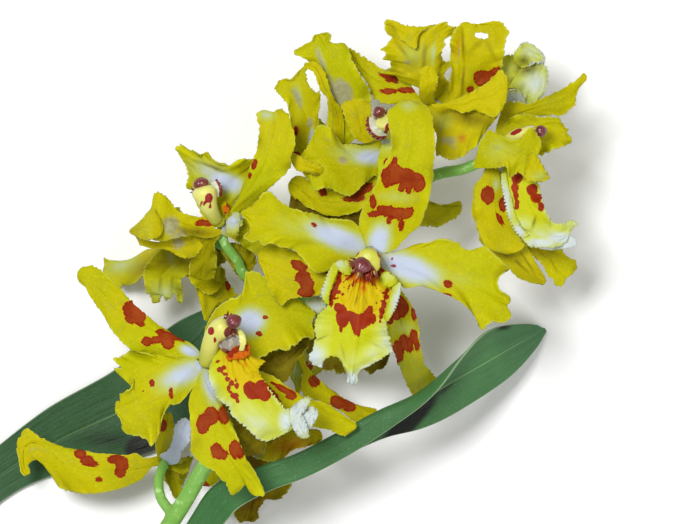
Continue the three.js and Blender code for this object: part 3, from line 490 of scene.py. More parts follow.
# Sepals and petals of bloom a
# Three sepals and two petals, thin and fleshy, grow out of one knot behind the lip. Their margins are
# ruffled, their feet are bluish white, and red-brown blotches cross the sepals.
TEPAL_THICKNESS = 0.32
# numbers in pixels of the picture: far from any blotch, a tooth of a fringe, the random nicks of a margin,
# the half width from which a blade crumples fully, and the dark throat above a callus
NO_BLOTCH = -6.0
TOOTH_WIDTH = 1.1
NICK = 0.45
BROAD = 28
THROAT = 12.0
# shares: how much of the traced margins a blade takes, and where its white rim starts
TO_TIP = 0.985
RIM_START = 0.62
RIDGES = 26


def margin(points, shares):
    """Points at equal steps along a margin drawn through picture points, across and down in turn."""
    points = np.reshape(points, (-1, 2))
    dense = along(points, np.linspace(0, 1, 12 * len(points)))
    steps = np.linalg.norm(np.diff(dense, axis=0), axis=1)
    run = np.concatenate([[0], np.cumsum(steps)])
    wanted = np.asarray(shares) * run[-1]
    return np.stack([np.interp(wanted, run, dense[:, k]) for k in (0, 1)], -1)


def vertex_places(piece):
    places = np.zeros(len(piece.data.vertices) * 3, np.float32)
    piece.data.vertices.foreach_get("co", places)
    return places.reshape(-1, 3)


def creases(across, ahead, seed, count=9):
    """Smooth random height, about -1 to 1, over a blade, for its crumpled look."""
    draw = np.random.default_rng(seed)
    height = np.zeros(np.broadcast(across, ahead).shape)
    for _ in range(count):
        long = draw.uniform(1.0, 4.5)
        wide = draw.uniform(-1.5, 1.5)
        height = height + np.sin(2 * math.pi * (long * ahead + wide * across + draw.uniform())) / count**0.5
    return height


def blotch_field(spots, ellipses):
    """How far inside the nearest blotch a picture point lies, in pixels."""
    field = np.full(spots.shape[:-1], NO_BLOTCH)
    for ellipse in ellipses:
        field = np.maximum(field, depth_in(spots, ellipse) * min(ellipse[2:4]))
    return field


def bands_field(across, ahead, bands, seed):
    """Blotches in rows across a blade whose face the picture doesn't show, at shares of its length."""
    draw = np.random.default_rng(seed + 50)
    field = np.full(np.broadcast(across, ahead).shape, NO_BLOTCH)
    for band in bands:
        for place in (-0.45, 0.05, 0.5):
            dx = (across - place - draw.uniform(-0.15, 0.15)) / draw.uniform(0.2, 0.34)
            dy = (ahead - band - draw.uniform(-0.04, 0.04)) / draw.uniform(0.05, 0.09)
            field = np.maximum(field, (1 - np.hypot(dx, dy)) * 5)
    return field


def warty_mound(spots, x, y, wide, high, turned, rise):
    """Heights in metres on an elliptical callus whose ridges fan out from its throat, and its furrows."""
    mound = np.clip(depth_in(spots, (x, y, wide, high, turned)), 0, 1) ** 0.5
    throat = (x + math.sin(math.radians(turned)) * high, y - math.cos(math.radians(turned)) * high)
    beside, below = spots[..., 0] - throat[0], spots[..., 1] - throat[1] + 2
    away = np.hypot(beside, below)
    bearing = np.arctan2(beside, below)
    bearing = bearing + 0.07 * np.sin(7 * bearing + 1) + 0.012 * np.sin(away / 2 + 9 * bearing)
    ridges = 0.5 + 0.5 * np.cos(RIDGES * bearing)
    furrow = np.maximum(mound * (1 - ridges) * np.clip(1.6 - away / high, 0, 1), 1.5 - away / THROAT)
    return rise / 1000 * mound * (0.4 + 0.6 * ridges), furrow


def cut_holes(piece, inside):
    select_only(piece)
    bpy.ops.object.mode_set(mode="EDIT")
    bpy.ops.mesh.select_mode(type="VERT")
    bpy.ops.mesh.select_all(action="DESELECT")
    bpy.ops.object.mode_set(mode="OBJECT")
    piece.data.vertices.foreach_set("select", inside)
    bpy.ops.object.mode_set(mode="EDIT")
    bpy.ops.mesh.delete(type="VERT")
    bpy.ops.object.mode_set(mode="OBJECT")


def blade(name, middle, margins=None, cells=(64, 30), thickness=TEPAL_THICKNESS, cup=0.0, wave=0.8,
          waves=3.0, phase=0.0, crumple=0.3, groove=0.25, fringe=0.0, callus=None, spots=(), pale=(),
          bands=(), gold=(), stain=(), dark=(), shade=0.0, tone=0.0, foot=0.0, seed=1, white_rim=0.0,
          holes=()):
    """A thin ruffled blade. Its midline is x, y, z and one or two half widths in millimetres of the plan.
    Where the picture shows its margins they are two lists, foot to tip, of how far across and down each
    point is in the picture, and then the midline may be heights alone. fringe is the length of the teeth on
    the margins in pixels, and spots, pale, gold, stain, dark and holes are ellipses of picture points."""
    ahead_share = np.linspace(0, 1, cells[0] + 1)[:, None]
    across = np.linspace(1, -1, cells[1] + 1)[None, :]
    reach = np.abs(across)
    side = np.sign(across)
    ramp = np.minimum(1, 2.5 * ahead_share)
    draw = np.random.default_rng(seed)
    swell = 0.65 + 0.35 * np.sin(2 * math.pi * (1.7 * ahead_share + draw.uniform() + (across < 0) * 0.3))
    turn = 2 * math.pi * (waves * ahead_share + phase + (across < 0) * 0.37)
    ripple = 0.4 * reach**2 * np.sin(2.7 * turn + 1) + 0.2 * reach**3 * np.sin(6.1 * turn + seed)
    ruffle = 1.4 * wave * swell * reach**1.6 * (np.sin(turn) + ripple)
    rough = crumple * creases(across, ahead_share, seed, 5) * (0.35 + 0.65 * reach)
    # painted light of the ruffles: positive in their valleys, which the materials paint as shade, and
    # negative on their ridges, which they paint as highlight
    crease_shading = np.clip(-(ruffle + rough) / (wave + 0.5), -1, 1) * ramp
    lift = (ruffle + rough - groove * np.exp(-((across / 0.1) ** 2))) * ramp
    if margins:
        run = ahead_share[:, 0] * TO_TIP
        sides = [margin(points, run) for points in margins]
        if isinstance(middle[0], (int, float)):
            centre = 0.5 * (sides[0] + sides[1])
            height = along([(z,) for z in middle], ahead_share[:, 0])[:, 0]
        else:
            here = along([row[:3] for row in middle], ahead_share[:, 0])
            height = here[:, 2]
            centre = np.stack([here[:, 0] / PIXEL_MM, PICTURE_HEIGHT - here[:, 1] / PIXEL_MM], -1)
            tip = 0.5 * (np.array(margins[0][-2:]) + np.array(margins[1][-2:]))
            centre += (tip - centre[-1]) * ahead_share**3
        forward = centre[-1] - centre[0]
        lean = sides[0].mean(0) - sides[1].mean(0)
        swap = -1 if forward[0] * lean[1] - forward[1] * lean[0] > 0 else 1
        sides = sides[::swap]
        edge = np.where((across > 0)[..., None], sides[0][:, None], sides[1][:, None])
        outward = edge - centre[:, None]
        width = np.linalg.norm(outward, axis=-1)
        nicks = draw.normal(0, NICK, (cells[0] + 1, 2))
        nicks = np.where(across > 0, nicks[:, :1], nicks[:, 1:])
        fray = 0.7 * creases(side, ahead_share * 9, seed + 7) + nicks
        length = np.linalg.norm(np.diff(centre, axis=0), axis=1).sum()
        left_teeth, right_teeth = fringe[::swap] if isinstance(fringe, tuple) else (fringe, fringe)
        teeth = np.where(across > 0, left_teeth, right_teeth)
        teeth = teeth * (np.abs(np.sin(ahead_share * length / TOOTH_WIDTH + side)) - 0.4)
        longer = 1 + (reach**6 * fray + reach**3 * teeth) * ramp / (2 + width)
        picture = centre[:, None] + (reach * longer)[..., None] * outward
        lift = lift + cup * width * PIXEL_MM * across**2
        lift = lift - rough * (1 - np.clip(width.max() / BROAD, 0.25, 1))
        points = from_picture(picture, height[:, None] + lift)
    else:
        share = ahead_share * (1 - 0.1 * reach**2.5)
        here = along(middle, share)
        _, left, top = directions(middle, share)
        half = np.where(across > 0, here[..., 3], here[..., -1])
        half = half * (1 + 0.05 * ramp * creases(side, ahead_share * 3, seed + 7))
        lift = lift + cup * half * across**2
        points = here[..., :3] + left * (across * half)[..., None] + top * lift[..., None]
        points = (points - PLAN_CENTRE) / 1000
        picture = to_picture(points)
    furrow = 0.0
    if callus:
        rise, furrow = warty_mound(picture, *callus)
        points[..., 2] += rise
    points[..., 2] = np.maximum(points[..., 2], thickness / 2000)
    piece = sheet_mesh(name, points)
    blotch = blotch_field(picture, spots)
    if bands:
        blotch = np.maximum(blotch, bands_field(across, ahead_share, bands, seed))
    white = np.maximum(soft_field(picture, pale), foot * (1 - 3.5 * ahead_share) * (1 - reach * 0.5))
    outer = np.clip((np.maximum(reach, ahead_share) - RIM_START) / (1 - RIM_START), 0, 1)
    white = np.maximum(white, white_rim * outer * ramp)
    fields = {
        "blotch": blotch,
        "pale": np.clip(white, 0, 1),
        "gold": soft_field(picture, gold),
        "stain": soft_field(picture, stain),
        "shade": np.clip(soft_field(picture, dark) * 0.8 + shade, 0, 1),
        "tone": tone,
        "rim": reach,
        "furrow": furrow,
        "crease_shading": crease_shading,
    }
    for field, numbers in fields.items():
        store(piece, field, np.broadcast_to(numbers, points.shape[:2]))
    if holes:
        cut_holes(piece, soft_field(picture, holes).reshape(-1) > 0)
    count = len(piece.data.vertices)
    apply_modifier(piece, "SOLIDIFY", thickness=thickness / 1000, offset=0.0)
    heights = vertex_places(piece)[:, 2]
    under = np.zeros(len(heights))
    lower = slice(count, None) if heights[:count].mean() > heights[count:].mean() else slice(0, count)
    under[lower] = 1
    store(piece, "under", under)
    return piece


def knot(centre, radius=1.8, pale=0.5, shade=0.0):
    """The knot that the tepals of a bloom grow out of."""
    bpy.ops.object.select_all(action="DESELECT")
    place = (np.array(centre, float) - PLAN_CENTRE) / 1000
    bpy.ops.mesh.primitive_uv_sphere_add(segments=24, ring_count=16, radius=radius / 1000, location=place)
    bpy.ops.object.transform_apply(location=True, rotation=True, scale=True)
    piece = bpy.context.object
    for field, number in (("pale", pale), ("shade", shade), ("blotch", NO_BLOTCH)):
        store(piece, field, number)
    return piece


tepal_finish = start_material("tepals_yellow_blotched")
place = on_object()
surface = on_surface()
cloud = noise(place, 75.0, 3.0)
mottle = noise(place, 330.0, 4.0, 0.6)
grain = noise(place, 1700.0, 2.0)
veins = noise(stretched(surface, (30, 2.2, 1)), 1.0, 5.0, 0.62)
tint = (cloud * 1.5 - 0.25 + attribute("tone")).maths("MINIMUM", 1.0).maths("MAXIMUM", 0.0)
milk = attribute("pale") + (cloud - 0.5) * 0.25 + (veins - 0.5) * 0.25 + (mottle - 0.5) * 0.2
worn = (attribute("stain") + (mottle - 0.5) * 1.8 + (veins - 0.5) * 0.8).step(0.2, 1.3)
scar = noise(place, 900.0, 3.0, 0.7).tint(plain(100, 88, 58), plain(184, 186, 160))
ragged = attribute("blotch") + (noise(place, 620.0, 3.0, 0.6) - 0.5) * 3.4 + (veins - 0.5) * 5.0
relief = veins * 0.14 + mottle * 0.34 + grain * 0.2
red = layered(
    (noise(place, 240.0, 3.0) * 1.8 - 0.4).tint(plain(126, 32, 0), plain(156, 70, 18)),
    (grain.step(0.55, 0.75) * 0.3, (172, 92, 40)),
    (ragged.step(2.0, 0.2), (134, 20, 0)),
)
yellow = layered(
    tint.tint(plain(166, 174, 2), plain(184, 172, 0)),
    # broad olive patches at random, a painted shade standing in for shading across the tepals
    (noise(place, 52.0, 2.0).step(0.5, 0.75) * 0.5, (136, 136, 0)),
    (veins.step(0.5, 0.72) * 0.3, (142, 138, 0)),
    (mottle.step(0.48, 0.7) * 0.35, (152, 150, 0)),
    (grain.step(0.52, 0.72) * 0.35, (206, 204, 12)),
    (milk.step(0.02, 0.36), (174, 182, 74)),
    (milk.step(0.22, 0.72), (182, 192, 212)),
    (attribute("pale").step(0.95, 1.4), (226, 236, 208)),
    # painted shade in the valleys of the ruffles, then a painted highlight on their ridges
    (attribute("crease_shading").step(0.1, 1.0) * 0.5, (126, 122, 0)),
    (attribute("crease_shading").step(-0.2, -1.0) * 0.4, (206, 206, 6)),
    ((attribute("gold") + (veins - 0.5) * 0.5).step(0.1, 0.6), (176, 116, 8)),
    (worn * 0.8, scar),
    (attribute("shade") * (0.6 + mottle * 0.8), (84, 66, 0)),
    (attribute("rim").step(0.93, 1.0) * 0.36, (208, 212, 96)),
    (ragged.step(-0.35, 0.2), red),
    (attribute("under") * 0.35, (134, 128, 8)),
)
finish_material(yellow, grain * 0.2 + 0.48, relief, 0.0005, Specular_IOR_Level=0.08)


def hand_over_tepals(letter, pieces):
    """Joins the sepals and petals of a bloom at their knot and hands them over as one piece."""
    sepals_and_petals = joined(f"bloom_{letter}_sepals_and_petals", pieces)
    hand_over(sepals_and_petals, tepal_finish, f"bloom_{letter}_tepals")


hand_over_tepals("a", [
    knot((93, 67.6, 48.6)),
    knot((92.5, 66, 50.4), 2.3),
    blade("dorsal", [(93, 69.5, 50), (94.5, 71.5, 50.5), (97, 75.5, 51.5), (100.8, 83.5, 54),
         (102.7, 91, 55.5), (103.7, 97.3, 56), (103, 103, 54), (100.8, 105.8, 51)],
        [[366, 248, 361, 236, 359, 224, 361, 212, 366, 202, 372, 192, 377, 181, 383, 168, 388, 158,
         391, 148, 391, 138, 389, 126, 387, 114, 392, 108, 399, 103, 405, 101],
         [382, 254, 396, 249, 401, 243, 410, 234, 420, 225, 424, 215, 428, 203, 431, 190, 433, 175,
         434, 160, 435, 145, 434, 130, 431, 115, 426, 106, 418, 102, 410, 100]],
        wave=0.5, waves=2.5, cup=-0.06, crumple=0.25, seed=11,
        spots=[(395, 160, 3, 4.5), (394, 168, 6, 6), (386, 177, 5, 10), (391, 182, 3.5, 5),
          (397, 175, 9, 9), (407, 178, 9.5, 10), (416, 180, 8, 8), (421, 184, 4.5, 6), (402, 187, 4, 5),
          (409, 190, 3, 4.5), (418, 188, 4.5, 4.5), (373, 202, 3.5, 7), (374, 214, 6, 3.5),
          (382, 210, 5, 5), (389, 211, 8, 5.5), (398, 213, 8, 6), (406, 213, 7, 5.5), (411, 211, 3.5, 4),
          (389, 220, 3, 5), (401, 224, 3.2, 8)],
        pale=[(379, 242, 17, 30, 15), (396, 197, 30, 9, 4, 0.3), (408, 106, 14, 9, 0, 0.4)]),
    blade("left_petal", [(91.5, 68, 50.2), (90.5, 67.8, 50.6), (83.8, 70.3, 52), (76.3, 73.5, 53.5),
         (68.8, 76, 54.5), (61.5, 77.5, 54)],
        [[366, 246, 361, 232, 357, 225, 350, 220, 338, 219, 326, 218, 314, 214, 302, 211, 291, 208,
         281, 202, 275, 197, 270, 191, 262, 194, 256, 202, 248, 208, 241, 211],
         [360, 258, 352, 260, 344, 262, 334, 266, 326, 271, 318, 273, 311, 270, 304, 261, 298, 253,
         290, 249, 280, 247, 270, 243, 262, 246, 258, 240, 252, 243, 246, 240, 244, 236, 249, 232,
         250, 226, 246, 219, 240, 214]],
        wave=0.9, waves=3.5, cup=0.06, seed=12, spots=[(314, 225, 3.4, 2, 30)],
        pale=[(338, 238, 54, 17, 22), (300, 228, 40, 16, 22, 0.25)]),
    blade("right_petal", [(94.5, 67.5, 50.2), (96.5, 66, 50.6), (103.8, 64.5, 52), (111.3, 62, 53.5),
         (118.8, 58.5, 54), (125, 55.2, 52.5)],
        [[384, 254, 396, 252, 406, 249, 415, 245, 425, 243, 432, 242, 438, 239, 446, 239, 453, 241,
         458, 243, 463, 248, 468, 250, 476, 249, 484, 246, 493, 252, 502, 261, 511, 268, 506, 271,
         499, 277, 498, 284, 501, 291, 508, 295, 511, 300, 508, 304],
         [382, 270, 391, 274, 397, 279, 401, 284, 404, 288, 410, 288, 420, 286, 430, 288, 440, 292,
         452, 297, 462, 303, 470, 310, 476, 318, 479, 326, 482, 330, 489, 324, 493, 321, 500, 323,
         507, 321, 511, 316, 509, 311, 506, 307]],
        wave=0.9, waves=3.2, cup=0.05, phase=0.4, seed=13,
        spots=[(448, 284, 5.2, 4, 25), (447, 295, 4.5, 2, 25), (393, 266, 3, 1), (392, 259, 1.5, 1)],
        pale=[(408, 268, 52, 20, 18), (460, 280, 34, 16, 10, 0.2)]),
    blade("left_lateral", [(91, 66.5, 49), (87.5, 63.5, 48.2), (81.3, 62.5, 47), (74.5, 62, 46.5),
         (68.8, 64, 46), (65.5, 66.5, 45)],
        [[358, 262, 342, 264, 328, 269, 318, 269, 306, 262, 298, 253, 288, 249, 276, 246, 266, 247,
         260, 252, 258, 257],
         [354, 274, 340, 285, 323, 294, 306, 297, 296, 298, 288, 300, 281, 306, 274, 298, 268, 286,
         265, 276, 262, 268, 258, 261]],
        wave=0.6, waves=2.5, cup=-0.12, seed=14, tone=0.35,
        spots=[(299, 266, 9, 5, 25), (303, 277, 8, 7), (307, 284, 7, 8), (306, 292, 9, 5),
          (329, 272, 4, 3, -40)]),
    blade("right_lateral", [(94, 65.5, 48.8), (96, 60.3, 46.5), (98.8, 54.8, 45), (100.5, 48.5, 42),
         (102.5, 42.3, 37), (104.5, 36.5, 28), (106, 32.5, 22)],
        [[388, 270, 399, 287, 405, 295, 411, 304, 416, 315, 419, 328, 420, 342, 422, 355, 425, 365,
         431, 372, 436, 382, 430, 392],
         [378, 278, 388, 296, 390, 310, 387, 322, 388, 333, 391, 345, 396, 357, 401, 370, 407, 384,
         412, 394, 418, 399]],
        wave=0.4, waves=2.0, cup=-0.1, seed=15,
        pale=[(404, 327, 26, 12, 10, 0.3), (414, 366, 22, 40, -28, 0.16)],
        spots=[(400, 306, 8, 11, -20), (396, 316, 5, 4), (389, 321, 4, 3), (414, 312, 3, 8),
          (398, 351, 6, 11, -10), (406, 343, 6, 9.5, -25), (414, 337, 4.5, 8, -10), (417, 345, 3, 6)]),
])

# Lip of bloom a
# A broad third petal that hangs forward from the foot of the column. It is bright yellow with a crimson
# butterfly, a warty golden callus at its throat, and pale margins cut into fine teeth.
LIP_THICKNESS = 0.35


def lip_blade(name, middle, margins=None, **looks):
    return blade(name, middle, margins, thickness=LIP_THICKNESS, **looks)


lip_finish = start_material("lip_yellow_crimson")
place = on_object()
surface = on_surface()
cloud = noise(place, 90.0, 3.0)
mottle = noise(place, 360.0, 4.0, 0.6)
grain = noise(place, 1900.0, 2.0)
veins = noise(stretched(surface, (36, 2.4, 1)), 1.0, 5.0, 0.62)
milk = attribute("pale") + (cloud - 0.5) * 0.3 + (veins - 0.5) * 0.45 + (mottle - 0.5) * 0.2
glow = attribute("gold") + (veins - 0.5) * 0.4 + (mottle - 0.5) * 0.3
ragged = attribute("blotch") + (noise(place, 800.0, 3.0, 0.6) - 0.5) * 2.8 + (veins - 0.5) * 2.4
relief = veins * 0.25 + mottle * 0.35 + grain * 0.2
red = (noise(place, 260.0, 3.0) * 1.6 - 0.3).tint(plain(126, 24, 0), plain(158, 50, 0))
red = (grain.step(0.55, 0.75) * 0.25).tint(red, plain(172, 70, 18))
yellow = layered(
    (cloud * 1.4 - 0.2).tint(plain(174, 188, 2), plain(192, 186, 0)),
    (veins.step(0.5, 0.74) * 0.3, (158, 158, 0)),
    (grain.step(0.52, 0.72) * 0.3, (214, 214, 60)),
    (milk.step(0.02, 0.42), (190, 200, 84)),
    (milk.step(0.28, 0.85), (196, 206, 204)),
    # painted shade in the valleys of the ruffles
    (attribute("crease_shading").step(0.1, 1.0) * 0.4, (150, 154, 20)),
    (glow.step(0.02, 0.35), (200, 176, 0)),
    (glow.step(0.7, 1.0), (196, 96, 0)),
    ((attribute("furrow") + (mottle - 0.5) * 0.6).step(0.25, 0.6), (150, 44, 0)),
    (attribute("shade") * (0.6 + mottle * 0.8), (88, 80, 4)),
    (ragged.step(-0.1, 0.3), red),
    (attribute("under") * 0.3, (160, 156, 44)),
)
finish_material(yellow, grain * 0.2 + 0.46, relief, 0.0005, Specular_IOR_Level=0.15)


def hand_over_lip(letter, pieces):
    hand_over(joined(f"bloom_{letter}_lip_blade", pieces), lip_finish, f"bloom_{letter}_lip")


hand_over_lip("a", [
    lip_blade("lip", [(92, 66, 53), (90.8, 58.5, 54.5), (90, 53.5, 55.5), (89.3, 48, 56), (88.3, 43, 55.5),
         (88, 38, 54.5), (88, 35, 53.5)],
        [[352, 262, 343, 262, 336, 264, 332, 270, 330, 276, 328, 282, 324, 288, 322, 294, 324, 299,
         328, 304, 325, 309, 319, 314, 316, 319, 315, 325, 315, 331, 317, 338, 314, 342, 313, 349,
         310, 354, 309, 358, 312, 363, 318, 366, 324, 368, 328, 366, 330, 361, 335, 358, 339, 359,
         343, 363, 345, 369, 348, 376, 347, 382, 350, 384],
         [380, 268, 388, 272, 392, 276, 398, 281, 401, 286, 400, 293, 397, 301, 395, 308, 391, 315,
         387, 321, 386, 327, 388, 334, 390, 342, 392, 350, 388, 354, 382, 358, 375, 362, 368, 366,
         361, 369, 357, 374, 357, 380, 355, 385, 352, 383]],
        cells=(110, 72), wave=1.2, waves=4.6, crumple=0.6, cup=-0.05, fringe=1.2,
        callus=(363, 288, 24, 26, 0, 1.8), seed=16,
        gold=[(363, 288, 38, 40, 0, 0.9), (364, 273, 44, 28, 0, 1.45)], white_rim=0.3, groove=-0.5,
        holes=[(333, 367, 10, 10)],
        dark=[(322, 338, 9, 1.4, -28), (343, 352, 1.6, 14, -14, 0.5), (356, 300, 1.2, 9, 16),
          (366, 301, 1.2, 9, -12), (376, 345, 14, 1.2, 30, 0.4)],
        pale=[(328, 281, 9, 26, 20), (397, 300, 8, 28, 16), (312, 356, 24, 24), (393, 344, 12, 24),
          (326, 366, 30, 12), (372, 368, 34, 12, -20), (352, 380, 16, 18), (318, 330, 20, 34, 0, 0.4),
          (386, 340, 18, 34, 0, 0.6), (352, 362, 44, 20, 0, 0.35), (374, 352, 26, 16, -25, 0.5)],
        spots=[(338, 307.5, 4, 5), (342, 311, 5, 6.5), (340, 318, 4, 9), (344, 322, 4, 6),
          (350, 316, 6, 5.5), (355, 320, 6, 7), (357, 328, 4.5, 8), (362, 319, 5, 6), (368, 317, 6, 9),
          (370, 310, 3.2, 5), (373, 319, 3.4, 6), (363, 325, 6, 4, -25), (341, 329, 1.8, 3.4),
          (358, 333, 2.2, 4), (340, 272, 2.5, 5), (339, 280, 3, 5), (336, 287, 3, 4.5), (338, 292, 4, 2),
          (333, 294, 3.5, 4.5), (336, 298, 4, 1.5), (331, 302, 2.6, 6), (344, 288, 1.2, 1.6),
          (343, 294, 1.2, 1.4), (330, 270, 3.4, 1.6, -30), (389, 286, 3.4, 1.4), (387, 290, 2.6, 2.2),
          (385, 293, 3.4, 1.2), (386, 297, 3.4, 3), (383, 301, 3.2, 1.4), (384, 305, 3, 3.6),
          (382, 311, 2.8, 5), (381, 317, 2.2, 3), (380, 322, 1.6, 1.8), (354, 269, 7, 5), (363, 271, 8, 5),
          (374, 273, 7, 5), (377, 296, 1.2, 1.2), (376, 303, 1.4, 1.6), (350, 276, 1.6, 5, 30),
          (378, 275, 1.8, 4, -30), (372, 283, 1.2, 4, -14), (353, 284, 1.2, 4, 16), (382, 270, 3, 3),
          (346, 270, 2, 3), (346, 279, 1, 4, 38), (357, 280, 0.9, 5, 10), (367, 279, 0.9, 5, -8),
          (383, 279, 1.2, 4, -34), (376, 287, 0.8, 5, -18), (349, 288, 0.8, 4, 22),
          (380, 290, 0.8, 2, -30)]),
    lip_blade("left_comb", (55.6, 56.4, 56.6, 56),
        [[339, 266, 337, 273, 334, 281, 331, 289, 329, 297, 329, 305],
         [334, 262, 329, 271, 326, 280, 323, 288, 322, 296, 327, 305]],
        cells=(60, 12), wave=0.2, crumple=0.1, cup=0.2, fringe=(0, 3.0), seed=17, groove=0,
        pale=[(322, 286, 10, 34, 14, 0.8)]),
    lip_blade("right_comb", (55.6, 56.4, 56.6, 56),
        [[393, 281, 392, 289, 390, 297, 388, 305, 385, 313, 385, 321],
         [401, 283, 400, 291, 398, 299, 395, 307, 391, 315, 387, 322]],
        cells=(60, 12), wave=0.2, crumple=0.1, cup=0.2, fringe=(0, 3.0), seed=18, groove=0,
        pale=[(399, 300, 12, 34, 14)]),
    lip_blade("left_shoulder", (55.6, 56.6, 56.8, 56.2),
        [[334, 265, 338, 261, 343, 260, 348, 262, 351, 266],
         [337, 268, 341, 272, 346, 275, 350, 274, 352, 269]],
        cells=(32, 24), wave=0.3, crumple=0.2, cup=-0.15, groove=0, seed=19,
        pale=[(340, 264, 16, 12, 0, 0.6)]),
    lip_blade("right_shoulder", (55.6, 56.6, 56.8, 56.2),
        [[380, 277, 383, 273, 388, 272, 393, 275, 397, 280],
         [381, 281, 384, 285, 388, 287, 393, 286, 397, 282]],
        cells=(32, 24), wave=0.3, crumple=0.2, cup=-0.15, groove=0, seed=20,
        pale=[(388, 276, 14, 10, 0, 0.5)]),
])

# Column and anther cap of bloom a
# The column is the fused middle of the bloom, waxy and cream yellow, with a toothed wing on each side of
# its hollow. The anther cap sits loose on its end, a glossy wine-red bead with a short beak.
WING_THICKNESS = 0.35
HOLLOW = 0.35
WING_TEETH = 34


def column(name, rows, wings=1.5, hairs=0, olive=0.0, blotches=(), dusky=(), seed=1):
    """A club-shaped column along rows of x, y, z and radius, with a hollow, a toothed wing on each side
    and, on the open blooms, a beard of dark hairs round its end. olive is how green it is."""
    steps, sides = 44, 32
    shares = np.linspace(0, 1, steps + 1)
    angles = np.linspace(0, 2 * math.pi, sides + 1)
    share = shares[:, None]
    belly = np.exp(-(((share - 0.72) / 0.17) ** 2)) * np.clip(-np.sin(angles), 0, 1)[None, :] ** 3
    taper = np.sqrt(np.clip(1 - ((share - 0.78) / 0.22).clip(0, 1) ** 2, 0.05, 1))
    radius = along(rows, shares)[:, 3:4] * (0.9 + 0.12 * share - 0.08 * np.sin(math.pi * share))
    points = round_points(rows, shares, radius * (1 - HOLLOW * belly) * taper, sides)
    stem = sheet_mesh(name, points)
    store(stem, "blotch", blotch_field(to_picture(points), blotches))
    store(stem, "dusk", np.maximum(belly, 2 * soft_field(to_picture(points), dusky)))
    store(stem, "foot", np.broadcast_to(np.clip(1 - 2.2 * share, olive, 1), points.shape[:2]))
    close_tube(stem)
    pieces = [stem]
    for side in (1, -1):
        run = np.linspace(0.55, 0.97, WING_TEETH)
        at = along(rows, run)
        _, left, top = directions(rows, run)
        ahead = np.cross(left, top)
        out = np.linspace(0, 1, 9)[None, :, None]
        teeth = 0.75 + 0.35 * np.abs(np.sin(np.arange(WING_TEETH) * 1.9 + seed))
        reach = (wings * np.sin(math.pi * np.clip((run - 0.5) / 0.55, 0, 1)) * teeth)[:, None, None]
        root = at[:, None, :3] + (left * side * 0.8 - top * 0.35)[:, None] * at[:, None, 3:4]
        spread = (left * side * 0.8 - top * 0.55 + ahead * 0.35)[:, None]
        points = (root + spread * out * reach - PLAN_CENTRE) / 1000
        wing = sheet_mesh(name, points)
        store(wing, "blotch", blotch_field(to_picture(points), blotches))
        tips = np.clip(out[..., 0] * 5 - 3.9, 0, 1) * np.ones((WING_TEETH, 1))
        store(wing, "dusk", tips * 0.8)
        apply_modifier(wing, "SOLIDIFY", thickness=WING_THICKNESS / 1000, offset=0.0)
        store(wing, "wing", 1.0)
        pieces.append(wing)
    draw = np.random.default_rng(seed)
    end = along(rows, np.array([0.93]))[0]
    _, left, top = directions(rows, np.array([0.93]))
    ahead = np.cross(left[0], top[0])
    for number in range(hairs):
        angle = math.radians(draw.uniform(195, 345))
        way = left[0] * math.cos(angle) + top[0] * math.sin(angle)
        root = end[:3] + way * end[3] * draw.uniform(0.55, 0.95) + ahead * draw.uniform(-0.9, 0.5)
        tip = root + way * draw.uniform(0.6, 1.9) + ahead * draw.uniform(0.2, 0.9)
        tip = tip + draw.uniform(-0.4, 0.4, 3)
        middle = 0.5 * (root + tip) + ahead * 0.15
        hair = tube(f"{name}_hair_{number}", [(*root, 0.24), (*middle, 0.2), (*tip, 0.08)], 6, 4)
        store(hair, "dusk", draw.uniform(0.35, 1.0))
        store(hair, "blotch", NO_BLOTCH)
        pieces.append(hair)
    return pieces


def dab(piece, field, ellipses):
    """Stores a field that is strongest in the middle of ellipses of picture points."""
    store(piece, field, soft_field(to_picture(vertex_places(piece)), ellipses))


def toothed_wing(name, heights, inner, outer, teeth=3.5, seed=1):
    """A pale wing of a column between two traced margins, cut into dark teeth along the outer one."""
    wing = blade(name, heights, [inner, outer], cells=(72, 20), thickness=WING_THICKNESS, wave=0.2,
                 crumple=0.1, groove=0.0, fringe=(0, teeth), seed=seed)
    dab(wing, "dusk", [(*point, 3.2, 3.2, 0, 1.3) for point in margin(outer, np.linspace(0, 1, 30))])
    store(wing, "wing", 1.0)
    return wing


def anther_cap(name, rows, centre, radii):
    """A bead with two lobes and a beak, which points the way that the column ends."""
    _, left, top = directions(rows, np.array([1.0]))
    ahead = np.cross(left[0], top[0])
    bpy.ops.object.select_all(action="DESELECT")
    bpy.ops.mesh.primitive_uv_sphere_add(segments=48, ring_count=32, radius=1)
    piece = bpy.context.object
    x, y, z = vertex_places(piece).T
    crease = 1 - 0.05 * np.exp(-((x / 0.16) ** 2)) * np.clip(z + 0.4, 0, 1)
    beak = 1 + 0.3 * np.clip(-y, 0, 1) ** 6
    local = np.stack([x * crease * radii[0], y * crease * beak * radii[1], z * crease * radii[2]], -1)
    back = -(ahead * 0.75 - top[0] * 0.66)
    points = (local @ np.stack([left[0], back, np.cross(left[0], back)]) + centre - PLAN_CENTRE) / 1000
    piece.data.vertices.foreach_set("co", points.reshape(-1).astype(np.float32))
    piece.data.update()
    piece.name = name
    piece.data.name = name
    return piece


